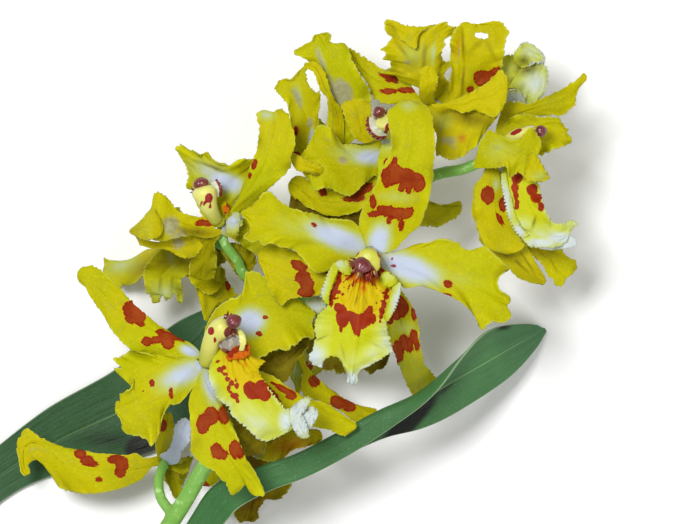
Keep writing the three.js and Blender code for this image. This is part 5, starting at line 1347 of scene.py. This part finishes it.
hand_over_lip("e", [
    lip_blade("lip", [(126, 89, 38), (128, 87.8, 39.3), (130.5, 83.5, 40), (132.5, 79, 40),
         (135, 74.8, 39.5), (138, 72, 38.5), (141.5, 71.5, 37.5), (145, 74.3, 36.5)],
        [[503, 172, 501, 176, 503, 180, 505, 185, 504, 190, 506, 196, 509, 202, 508, 208, 510, 215,
         513, 222, 517, 230, 520, 235, 525, 241, 530, 246, 536, 247, 546, 247, 552, 247, 558, 246,
         564, 243, 568, 238, 569, 231, 570, 227, 575, 225, 580, 225],
         [524, 172, 534, 182, 538, 184, 540, 192, 542, 200, 545, 210, 549, 218, 553, 223, 558, 224,
         564, 224, 569, 221, 575, 221]],
        cells=(96, 56), wave=0.6, waves=4, crumple=0.35, fringe=1.5, seed=56, white_rim=0.5,
        pale=[(507, 200, 7, 34, -10, 0.7), (560, 238, 26, 12), (540, 243, 34, 9),
          (542, 234, 44, 16, 0, 0.5), (524, 224, 18, 12, 30, 0.5)],
        dark=[(534, 222, 2.4, 10, 18), (522, 229, 12, 2.2, 15)],
        spots=[(517, 178, 6, 6), (515, 188, 4, 5), (516, 195, 3, 5), (517, 203, 2.5, 5),
          (516, 208, 3, 2.5), (532, 190, 6, 6), (536, 198, 6, 5), (541, 207, 3.5, 5)]),
    lip_blade("lip_claw", (36.8, 37.4, 38.4),
        [[490, 162, 498, 168, 505, 176],
         [498, 154, 510, 162, 520, 174]],
        cells=(24, 14), wave=0, crumple=0.1, seed=47, pale=[(504, 166, 30, 30)]),
    lip_blade("lip_point", (37.1, 36.7, 36.2),
        [[552, 246, 560, 240, 567, 237, 573, 237, 577, 243],
         [552, 249, 560, 249, 567, 248, 574, 247, 577, 244]],
        cells=(32, 20), wave=0.3, groove=0, seed=60, pale=[(566, 243, 34, 20, 0, 1.2)]),
    lip_blade("left_comb", (39.3, 40.3, 40.5, 39.9),
        [[506, 172, 508, 184, 511, 197, 515, 212, 521, 227, 530, 236],
         [501, 174, 502, 186, 505, 199, 508, 213, 514, 228, 524, 239]],
        cells=(110, 14), wave=0.3, crumple=0.1, cup=0.2, fringe=(0, 4.0), groove=0, seed=59,
        pale=[(504, 200, 12, 46, -12), (518, 232, 14, 16)]),
])
hand_over_column("e", [(124, 92.9, 36.2, 1.5), (128.4, 96.7, 40, 1.9), (131.6, 97.6, 41.6, 1.7),
     (134, 98, 42.3, 1.5)], (135.2, 98.2, 42.7), (1.5, 1.4, 1.2), wings=0.5, seed=7,
    blotches=[(516, 132, 6, 2.5, -25)])

# Bloom f
# Built like bloom a, on a stalk at the top of the spray, and turned to the upper right. Its upper petals
# are deeply ruffled, a narrow sepal stands in front of them, and its lip curls over to the right.
hand_over_tepals("f", [
    knot((109, 104.5, 30)),
    blade("upper_left_petal", [(108, 106, 30.5), (107.3, 107.5, 31.5), (105.8, 111, 33.5),
         (104.3, 116, 35.5), (103, 120.5, 36), (102, 124.5, 35)],
        [[430, 104, 422, 102, 420, 90, 419, 84, 416, 79, 410, 80, 404, 81, 400, 80, 396, 76, 391, 72,
         385, 71, 378, 73, 390, 68, 391, 64, 390, 60, 383, 59, 386, 55, 384, 51, 380, 49, 385, 47, 387, 43,
         391, 40, 392, 37, 388, 34, 385, 30, 384, 26, 386, 20, 393, 21, 403, 26, 412, 27],
         [446, 104, 449, 101, 450, 98, 450, 90, 449, 82, 446, 79, 444, 75, 446, 70, 451, 66, 450, 62,
         447, 62, 443, 60, 441, 55, 442, 49, 445, 45, 444, 40, 447, 37, 452, 34, 455, 28, 453, 26, 449, 25,
         445, 22, 441, 23, 437, 25, 431, 25, 427, 27, 420, 27]],
        cells=(84, 56), wave=1.2, waves=3.6, crumple=0.6, seed=61, tone=0.4,
        pale=[(416, 56, 28, 22, 0, 0.2), (433, 54, 5, 26, 6, 0.35)], stain=[(408, 62, 6, 4, 0, 1.2)],
        dark=[(424, 62, 4, 26, 4, 0.8), (396, 72, 14, 3, 12, 0.7), (441, 62, 3, 22, 12, 0.8),
          (402, 50, 3, 16, -38, 0.6)]),
    blade("flap", (37, 38, 38, 37),
        [[386, 24, 392, 20, 404, 25, 420, 27, 428, 27],
         [390, 24, 395, 27, 398, 33, 400, 39, 404, 41, 408, 45, 412, 48, 416, 49, 417, 44, 418, 38,
         420, 33, 427, 29]],
        cells=(40, 20), wave=0.3, seed=62, tone=0.5),
    blade("far_left_sepal", [(107.5, 105.5, 29.4), (105, 106.5, 29), (101, 107.5, 28), (96, 109.5, 27.5),
         (91, 113, 27), (87.3, 118, 26.5)],
        [[430, 92, 418, 96, 407, 80, 396, 76, 381, 68, 373, 63, 365, 58, 356, 52, 348, 47],
         [428, 108, 418, 104, 407, 101, 399, 103, 390, 104, 383, 103, 376, 99, 371, 93, 368, 84, 360, 73,
         353, 62, 348, 52]],
        wave=0.5, cup=-0.1, seed=63, tone=0.2,
        spots=[(390, 78, 10, 4, 20), (389, 91, 9, 3), (408, 90, 11, 3)]),
    blade("front_sepal", (31.4, 37.6, 40.5, 41, 41),
        [[428, 104, 422, 102, 419, 95, 420, 85, 420, 75, 420, 70, 424, 67, 429, 65],
         [436, 104, 433, 95, 436, 88, 438, 80, 437, 75, 436, 73, 434, 68, 431, 65]],
        cells=(48, 24), wave=0.3, cup=-0.15, seed=64, tone=0.5),
    blade("upright_sepal", [(110.5, 105, 30.8), (112.5, 105, 32), (115.5, 109, 33.5), (118, 114.8, 35),
         (120, 120.5, 36), (120.5, 124.6, 35.5)],
        [[440, 104, 450, 98, 450, 90, 450, 80, 452, 70, 450, 60, 451, 50, 450, 42, 452, 35, 455, 29,
         458, 26, 462, 23, 467, 22, 471, 24, 476, 24],
         [446, 106, 455, 100, 462, 97, 470, 93, 478, 88, 484, 85, 490, 80, 497, 74, 500, 70, 502, 65,
         503, 58, 504, 50, 505, 44, 507, 37, 509, 31, 506, 27, 503, 24, 500, 21, 496, 21, 491, 22,
         480, 24]],
        cells=(76, 44), wave=0.9, crumple=0.5, seed=65, groove=0, tone=0.5,
        gold=[(458, 46, 6, 30, 0, 0.42)], stain=[(459, 50, 3, 14, 0, 0.8)],
        dark=[(463, 44, 2.4, 26, -4, 1.0), (463, 82, 2.4, 24, 5, 1.1), (453, 84, 2, 18, 2, 0.7),
          (476, 46, 4, 20, 50, 0.4), (492, 52, 3, 24, -28, 0.5)],
        holes=[(479.5, 35.5, 4.2, 2.2), (485, 36.3, 3.2, 1.7)],
        spots=[(482, 78, 9, 8), (494, 72, 7, 4, -40), (470, 89, 3.5, 3.5)]),
    blade("lower_right_petal", (31, 37, 39, 40.5, 41, 40),
        [[433, 102, 443, 104, 450, 106, 457, 99, 470, 93, 480, 87, 490, 81, 497, 75, 501, 70, 505, 75,
         509, 80, 508, 88, 504, 96],
         [428, 106, 430, 120, 433, 128, 437, 136, 436, 148, 437, 155, 442, 157, 448, 159, 454, 160,
         460, 158, 465, 155, 469, 151, 475, 148, 479, 141, 483, 135, 488, 128, 494, 121, 500, 113,
         503, 106, 504, 99]],
        cells=(84, 44), wave=0.9, crumple=0.45, seed=66, tone=0.7,
        stain=[(450, 141, 12, 10, 0, 1.3), (446, 122, 14, 12, 0, 0.6), (462, 138, 4, 5, 0, 0.6)],
        gold=[(462, 138, 10, 10, 0, 0.55)], pale=[(446, 121, 20, 16, 0, 0.22)],
        dark=[(470, 118, 34, 12, 10)]),
    blade("petal_flap", (41.5, 42.6, 43, 43.4, 43),
        [[431, 104, 444, 104, 457, 99, 470, 93, 482, 86, 492, 79, 500, 70, 506, 76, 508, 84],
         [433, 108, 445, 107, 455, 110, 464, 113, 474, 110, 484, 114, 494, 117, 502, 109, 507, 96]],
        cells=(72, 28), wave=0.6, waves=2.4, crumple=0.2, cup=-0.12, seed=68, tone=0.7),
])
hand_over_lip("f", [
    lip_blade("lip_claw", [(110.8, 106.2, 27.8), (118, 109, 27.4), (125, 111, 28), (130, 110, 29)],
        [[446, 92, 470, 74, 492, 62, 503, 56, 511, 55, 518, 57, 525, 62],
         [444, 102, 470, 98, 492, 92, 502, 90, 512, 89, 520, 87, 527, 80]],
        cells=(60, 36), wave=0.5, waves=2.5, cup=-0.25, seed=67, shade=0.15,
        pale=[(512, 68, 26, 22, 0, 0.35)], dark=[(506, 84, 18, 12), (520, 68, 10, 12)]),
    lip_blade("upper_lobe", (29, 31.3, 32.4, 32),
        [[514, 62, 514, 54, 518, 48, 524, 42, 531, 44, 538, 49, 543, 54],
         [522, 68, 528, 66, 534, 62, 538, 63, 542, 62, 545, 60, 545, 57]],
        cells=(48, 32), wave=0.7, waves=2.3, crumple=0.4, fringe=1.0, seed=68, white_rim=0.7, shade=0.1,
        pale=[(530, 52, 30, 20, 0, 0.55)], dark=[(524, 60, 10, 7)]),
    lip_blade("side_lobe", (28.6, 29.4, 30, 30.6, 31),
        [[522, 66, 530, 66, 538, 62, 544, 64, 547, 70, 548, 78, 547, 86],
         [508, 88, 518, 89, 524, 96, 527, 104, 533, 104, 539, 99, 545, 92]],
        cells=(56, 40), wave=0.7, waves=2.6, crumple=0.4, fringe=1.0, seed=69, white_rim=0.6, shade=0.1,
        pale=[(536, 84, 34, 32, 0, 0.75)], dark=[(528, 70, 18, 8, -20)]),
    lip_blade("lower_fringe", (29.6, 30, 30, 29.6),
        [[502, 90, 509, 91, 517, 90, 524, 92],
         [503, 101, 510, 101, 518, 101, 526, 102]],
        cells=(30, 16), wave=0.3, crumple=0.2, fringe=2.0, groove=0, seed=70, pale=[(515, 98, 22, 12)]),
])
hand_over_column("f", [(110.4, 103.8, 28.6, 2.1), (113, 103.4, 26, 2.2), (116, 103.8, 24, 2.2),
     (118, 104.4, 23.3, 2)], (118.9, 104.7, 23), (2.0, 1.7, 1.5), seed=8)

# Bloom g
# Built like bloom a, on the lowest stalk, and seen from its back. One long sepal reaches out to the left
# and ends in a hook, and a white petal and a spotted sepal stand behind the foot of bloom b.
hand_over_tepals("g", [
    knot((41.3, 15.5, 12.6), 1.5, pale=0.1, shade=0.4),
    blade("long_sepal", [(40, 14.8, 14), (32.5, 13.5, 14.5), (23.8, 13, 15), (16.3, 14.8, 15),
         (11.3, 19, 14.3), (7.5, 20.5, 13.8), (5.5, 18, 13.2), (5.8, 13.5, 12.6), (7, 12.4, 12.4)],
        [[166, 458, 158, 456, 145, 458, 136, 453, 127, 455, 112, 454, 96, 453, 80, 450, 66, 448, 52, 443,
         40, 437, 32, 431, 26, 428, 22, 434, 18, 440, 17, 450, 19, 459, 20, 468, 23, 475, 28, 476],
         [164, 466, 158, 464, 150, 469, 143, 478, 130, 485, 116, 490, 100, 493, 84, 494, 70, 491, 60, 488,
         57, 480, 54, 473, 50, 463, 44, 457, 36, 453, 29, 455, 27, 461, 28, 467, 32, 471]],
        cells=(96, 36), wave=0.5, cup=-0.06, seed=71, tone=0.4,
        spots=[(80, 454, 6, 4.5), (87, 461, 7, 5), (94, 464, 5, 3), (116, 459, 9, 5), (122, 464, 7, 7),
          (120, 472, 6, 6), (99, 479, 4, 3)]),
    blade("white_petal", (15, 24, 33, 36),
        [[164, 460, 160, 455, 168, 450, 172, 442, 174, 433, 175, 425, 180, 420, 186, 417],
         [166, 464, 175, 464, 180, 460, 181, 452, 186, 447, 190, 440, 191, 430, 190, 421]],
        cells=(48, 28), wave=0.3, crumple=0.1, seed=72, pale=[(179, 438, 22, 60, 14, 1.7)]),
    blade("spotted_sepal", (14, 20, 27, 30),
        [[158, 462, 157, 455, 155, 445, 158, 436, 160, 425, 163, 416, 167, 413],
         [168, 458, 172, 448, 173, 438, 174, 428, 173, 418, 171, 412]],
        cells=(48, 28), wave=0.4, seed=73, tone=0.3, spots=[(162, 425, 4, 6)],
        pale=[(169, 446, 8, 20, 4, 0.25)]),
    blade("right_petal", (13.8, 13.2, 12.8),
        [[168, 460, 180, 464, 186, 460, 193, 456],
         [166, 468, 178, 473, 184, 474, 189, 470, 190, 463, 194, 458]],
        cells=(32, 20), wave=0.4, seed=74),
    blade("lower_sepal", (13.6, 12.3, 11.4),
        [[162, 464, 164, 474, 168, 484, 172, 494, 176, 499],
         [170, 464, 178, 474, 182, 484, 182, 494, 179, 499]],
        cells=(32, 20), wave=0.4, seed=75, shade=0.35),
])


def hidden_lip(rows, wave, shade, seed):
    """A lip that the picture doesn't show, with two rows of blotches across it."""
    return lip_blade("lip", rows, cells=(44, 30), wave=wave, waves=3.5, bands=(0.35, 0.5), shade=shade,
                     seed=seed)


rows = [(42.5, 14.5, 12, 2.4), (43.8, 13, 8.3, 4.2), (45.2, 12, 5.5, 4.2), (46.3, 11.6, 3.6, 2.4)]
hand_over_lip("g", [hidden_lip(rows, wave=0.5, shade=0.2, seed=76)])
hand_over_column("g", [(41, 16.4, 12.4, 2), (41.2, 18, 10, 2.1), (41.8, 20, 8.4, 2.1),
     (42.3, 21.4, 7.8, 1.8)], (42.6, 22.2, 7.6), (1.7, 1.5, 1.3), seed=9)

# Bloom h
# Built like bloom a, on a stalk under the stem. Its lower sepal, with a torn edge, rests on the surface,
# and most of it is in the shade of bloom b and of the front leaf.
hand_over_tepals("h", [
    knot((58, 19.8, 9.4), pale=0, shade=0.5),
    blade("right_petal", [(60, 20.2, 10), (66.3, 21.5, 10.5), (72.5, 23.5, 10.5), (77.5, 23.5, 9.5),
         (81, 21.5, 8.5)],
        [[240, 438, 256, 444, 268, 445, 280, 438, 288, 435, 297, 436, 312, 430, 318, 430, 322, 434],
         [240, 450, 256, 458, 272, 462, 280, 462, 290, 452, 300, 448, 312, 445, 318, 443, 323, 440]],
        cells=(56, 32), wave=0.7, seed=81, tone=1.0, shade=0.15, pale=[(252, 449, 16, 12, 0, 1.4)],
        gold=[(288, 446, 44, 22, 0, 0.55)], dark=[(240, 446, 30, 20, 0, 0.9)]),
    blade("lower_sepal", [(59, 18, 9.4), (60, 16, 8), (62.5, 12, 5.5), (64.8, 8.8, 3), (65, 4, 1.4)],
        [[226, 450, 226, 464, 224, 480, 226, 496, 232, 510, 236, 518, 240, 523, 244, 520],
         [242, 446, 262, 456, 282, 468, 291, 482, 289, 489, 285, 495, 280, 499, 273, 500, 266, 499,
         262, 505, 258, 510, 259, 517, 254, 521, 250, 522]],
        cells=(64, 44), wave=0.3, crumple=0.25, seed=82, tone=0.5, shade=0.75, dark=[(240, 478, 30, 34)],
        gold=[(250, 500, 50, 40, 0, 0.4)]),
    blade("left_sepal", [(56.5, 18.5, 10.2, 1.5), (55, 16.5, 10.5, 3), (52.3, 13.3, 11, 3.4),
         (49.6, 9.4, 10.4, 2.6)], cells=(44, 24), seed=83, shade=0.2, spots=[(202, 489, 8, 9)]),
    blade("upper_sepal", [(58, 22, 10, 1.5), (58, 26, 9.6, 3.4), (58.5, 32, 9, 4), (59, 36, 8, 3)],
        cells=(44, 24), wave=0.4, seed=84, shade=0.8),
    blade("upper_petal", [(59, 21.5, 9.8, 1.5), (63, 26, 9.4, 3), (67, 31, 8.4, 4), (70, 34, 7.4, 3)],
        cells=(44, 24), wave=0.4, seed=85, shade=0.7),
])
rows = [(59.5, 20.6, 8.2, 2.4), (62.4, 22, 5.4, 4), (65.4, 23.2, 3.6, 4), (67.6, 24, 2.8, 2)]
hand_over_lip("h", [hidden_lip(rows, wave=0.4, shade=0.2, seed=86)])
hand_over_column("h", [(57.4, 18.9, 8.6, 1.9), (56.4, 17.6, 6.6, 2), (55, 16.2, 5, 2),
     (54, 15.2, 4.3, 1.7)], (53.4, 14.6, 3.9), (1.6, 1.5, 1.3), seed=10)

# Bloom j
# Built like bloom a, on a long stalk behind bloom c, with its back to the viewer. One petal hangs down
# with a toothed end, and another bends down to the surface on the left.
hand_over_tepals("j", [
    knot((44.5, 71, 20.5), pale=0, shade=0.6),
    blade("hanging_petal", (22, 21, 19.5, 18, 17),
        [[170, 244, 158, 252, 148, 262, 144, 270, 144, 278, 145, 287, 147, 293, 150, 294, 153, 303,
         157, 300, 158, 304],
         [186, 244, 197, 252, 201, 259, 196, 267, 190, 273, 184, 277, 181, 280, 182, 286, 183, 299,
         181, 303, 177, 295, 174, 291, 170, 296, 167, 300, 163, 294, 160, 298]],
        cells=(84, 54), wave=0.9, crumple=0.4, seed=91,
        dark=[(168, 262, 60, 17), (172, 282, 3, 22, 6, 0.5), (160, 284, 3, 20, 6, 0.5)],
        pale=[(171, 258, 7, 18, -10, 0.4), (165, 292, 34, 18, 0, 0.38)],
        holes=[(162.5, 306, 3, 11), (174, 305, 3.2, 11), (149.5, 306, 3, 7)]),
    blade("left_petal", [(43, 70.5, 21.5), (40, 69, 19.5), (36, 66.5, 14.5), (31.5, 65, 8.5),
         (28, 64.5, 3.5), (26.5, 64, 1.2)],
        [[176, 236, 170, 249, 158, 248, 147, 250, 140, 254, 132, 259, 124, 261, 115, 261, 108, 260,
         103, 257],
         [172, 252, 160, 262, 150, 272, 141, 277, 139, 280, 135, 283, 129, 285, 122, 285, 120, 289,
         113, 282, 110, 279, 103, 272, 105, 269, 105, 263]],
        cells=(56, 32), wave=0.5, seed=92, tone=0.2, dark=[(150, 266, 30, 14, -25)],
        pale=[(122, 266, 30, 14, -10, 0.4)]),
    blade("right_sepal", [(45.5, 70, 21.5, 1.5), (47.5, 66, 20, 3), (51.5, 62, 18.5, 4),
         (55.3, 59.8, 17, 3.4)], cells=(48, 28), wave=0.5, seed=93, tone=0.4),
    blade("lower_sepal", (20, 17, 14, 12),
        [[186, 250, 196, 262, 205, 281, 213, 278, 222, 274, 226, 279, 231, 286, 238, 297],
         [180, 256, 188, 274, 196, 289, 199, 300, 202, 311, 206, 321, 212, 311, 222, 301]],
        cells=(48, 28), wave=0.4, seed=94, tone=0.3, spots=[(228, 285, 3, 5)]),
    blade("shaded_sepal", (30, 30.4, 30),
        [[226, 243, 236, 243, 246, 247, 254, 254, 257, 262],
         [221, 252, 229, 263, 236, 273, 243, 280, 251, 273]],
        cells=(48, 32), wave=0.6, waves=4, crumple=0.4, seed=98, shade=0.6),
    blade("cover", (25, 25.6, 25.4, 24),
        [[176, 241, 188, 236, 203, 236, 216, 237, 228, 235],
         [180, 257, 192, 263, 206, 270, 220, 265, 233, 256]],
        cells=(44, 28), wave=0.6, seed=97, tone=0.5, shade=0.5, spots=[(211, 255, 4, 3)]),
    blade("upper_sepal", [(44, 72.5, 21.6, 1.5), (43, 75, 20, 2.8), (41.6, 78.6, 18.4, 3)], cells=(36, 20),
        seed=95, shade=0.4),
])
rows = [(45.5, 70.2, 20, 2.4), (48, 69.3, 15.5, 4), (50, 68.4, 12, 4.2), (51.2, 67.8, 9.8, 2.4)]
hand_over_lip("j", [hidden_lip(rows, wave=0.4, shade=0.3, seed=96)])
hand_over_column("j", [(43.7, 71.4, 20.4, 2), (43, 72.4, 17.2, 2.1), (42.4, 73.4, 14.4, 2.1),
     (42, 74, 12.8, 1.8)], (41.8, 74.3, 12), (1.6, 1.5, 1.3), seed=11)

# Bloom k
# Built like bloom a, on a short stalk behind the lip of bloom a. Its blotched right sepal reaches out
# over the front leaf, and the rest is in the shade.
hand_over_tepals("k", [
    knot((75, 44.8, 20.5), pale=0, shade=0.8),
    blade("right_lateral", [(75.5, 43, 21.6), (77, 38.5, 20.5), (81.5, 33, 18.5), (87.5, 29, 16),
         (93, 28, 14), (96, 28.4, 12.8)],
        [[302, 350, 305, 362, 307, 367, 311, 372, 316, 377, 321, 381, 327, 387, 333, 391, 340, 396,
         349, 401, 358, 405, 366, 407, 378, 409],
         [296, 352, 299, 362, 303, 372, 301, 380, 301, 388, 303, 394, 310, 398, 318, 400, 328, 404,
         338, 409, 346, 415, 352, 420, 364, 424, 376, 418]],
        wave=0.5, seed=101, tone=0.5, spots=[(314, 381, 6, 6), (337, 402, 8, 6, 30), (348, 405, 8, 6, 15)]),
    blade("right_petal", [(77, 44.4, 21.6), (80, 43.5, 21), (86, 41.5, 20.5), (92, 39.5, 19.5),
         (97, 38, 18)],
        [[308, 336, 326, 338, 345, 344, 365, 346, 380, 350, 391, 353],
         [306, 352, 318, 366, 327, 371, 334, 370, 337, 374, 345, 373, 355, 370, 367, 371, 370, 375,
         376, 371, 382, 369, 386, 365, 388, 358]],
        cells=(56, 36), wave=0.7, seed=102, shade=0.85),
    blade("lower_sepal", [(74.6, 43, 21.4), (74, 39.5, 19), (73.5, 35, 16.5), (73, 31, 14)],
        [[300, 350, 303, 360, 303, 370, 302, 378, 301, 388, 298, 398],
         [290, 352, 291, 360, 288, 368, 289, 374, 293, 382, 298, 390, 296, 398]],
        cells=(48, 28), wave=0.4, seed=103, pale=[(296, 370, 10, 22, 0, 0.45)]),
    blade("upper_petal", [(76, 46.5, 21.8, 1.5), (78, 49.5, 21, 3.4), (80, 54, 20, 4), (81, 58, 18.5, 3)],
        cells=(44, 28), wave=0.5, seed=104, dark=[(322, 330, 24, 22, 0, 0.8)],
        pale=[(312, 302, 30, 26, 0, 1.7)]),
    blade("left_sepal", [(73.5, 44, 21.6, 1.5), (71, 42, 20, 3), (67.5, 39, 18.5, 3.8), (65, 36.5, 17, 3)],
        cells=(44, 28), wave=0.4, seed=105, shade=0.75),
])
rows = [(75.8, 43.8, 20, 2.4), (78, 41.5, 14.5, 4.2), (79.8, 39.8, 10.5, 4.4), (81, 38.8, 8, 2.4)]
hand_over_lip("k", [hidden_lip(rows, wave=0.4, shade=0.3, seed=106)])
hand_over_column("k", [(74.2, 45.6, 20.4, 2), (72.8, 46.8, 17.4, 2.1), (71.4, 48, 15, 2.1),
     (70.6, 48.7, 14, 1.8)], (70.1, 49.1, 13.3), (1.7, 1.5, 1.3), seed=12)

# Bloom m
# Built like bloom a, on a stalk at the upper left, with its back to the viewer. Three narrow tepals
# stand up, and two hang down to the surface out of sight.
hand_over_tepals("m", [
    knot((83, 93.5, 28)),
    blade("tall_sepal", [(83.5, 94.5, 28.2), (85, 97, 29), (86.3, 103.5, 31), (85, 111, 33),
         (82.3, 117.3, 34), (80.5, 121, 33.5)],
        [[326, 150, 326, 132, 328, 116, 328, 104, 326, 90, 320, 78, 314, 66, 307, 60, 300, 56, 294, 54,
         294, 51, 297, 49, 302, 46, 307, 43, 312, 41, 313, 37, 316, 34],
         [340, 150, 352, 142, 362, 128, 370, 110, 371, 100, 370, 92, 366, 84, 362, 78, 357, 70, 353, 62,
         350, 55, 348, 47, 345, 44, 341, 43, 337, 44, 333, 43, 329, 41, 331, 37, 330, 34, 325, 33,
         320, 34]],
        cells=(80, 36), wave=0.7, crumple=0.4, seed=111,
        stain=[(340, 94, 16, 21, -10, 2.6), (320, 58, 4, 22, -22, 1.2), (330, 78, 5, 14, -25, 1.2)],
        pale=[(322, 60, 5, 24, -20, 0.35)]),
    blade("strap_petal", (29, 31.2, 34.6, 35.6, 35.2),
        [[336, 144, 333, 118, 329, 107, 327, 98, 320, 89, 317, 80, 313, 72, 307, 69, 302, 70],
         [344, 144, 344, 125, 343, 115, 341, 108, 336, 102, 331, 92, 328, 82, 324, 71, 317, 63, 309, 62,
         303, 65]],
        cells=(56, 20), wave=0.3, seed=112, tone=0.4, spots=[(331, 121, 1.5, 9, -10)]),
    blade("left_petal", [(81.5, 94, 28), (79.5, 94.5, 28.2), (77.5, 99.8, 29), (75, 105.5, 30),
         (72.5, 109, 30), (71.5, 111, 29.8)],
        [[318, 166, 303, 167, 291, 161, 290, 150, 294, 138, 293, 131, 291, 125, 290, 118, 289, 112,
         288, 106, 285, 101, 281, 96, 277, 92, 275, 88, 277, 83, 280, 80],
         [326, 152, 322, 140, 320, 128, 318, 116, 320, 104, 320, 96, 319, 88, 318, 82, 315, 74, 309, 66,
         305, 66, 300, 70, 298, 74, 295, 79, 291, 80, 286, 78]],
        cells=(68, 32), wave=0.6, seed=113, tone=0.2, holes=[(313, 80, 4.6, 11.5, -22)],
        stain=[(298, 98, 6, 16, -20, 1.5), (310, 122, 4, 7, 0, 1.6)], gold=[(296, 130, 4, 7)],
        pale=[(311, 138, 4, 16, 8, 0.9), (299, 94, 6, 16, -15, 0.4)],
        spots=[(296, 131, 1.6, 4), (297, 155, 3, 5, -30)]),
    blade("lower_sepal", [(82.8, 92, 27, 1.5), (82, 88, 22, 2.6), (81, 82.5, 14, 3.4), (80, 78, 6.5, 3.2),
         (79.5, 75.5, 1.2, 2)], cells=(44, 24), seed=114, shade=0.3),
    blade("right_sepal", [(84.5, 93.2, 27, 1.5), (88, 92.5, 22, 2.6), (92, 92.5, 14, 3.4),
         (95, 93, 6.5, 3.2), (96.8, 93.4, 1.2, 2)], cells=(44, 24), seed=115, shade=0.3),
])
rows = [(82, 95, 26, 2), (79.4, 97.4, 21, 3), (77.2, 99.4, 16, 3.4), (76, 101, 12.4, 2.4)]
hand_over_lip("m", [hidden_lip(rows, wave=0.5, shade=0.2, seed=116)])
hand_over_column("m", [(83.6, 94.8, 26.4, 2), (85, 96.8, 23, 2.1), (86.4, 99, 20, 2.1),
     (87.2, 100.4, 18.6, 1.8)], (87.6, 101.1, 17.9), (1.7, 1.5, 1.3), seed=13)
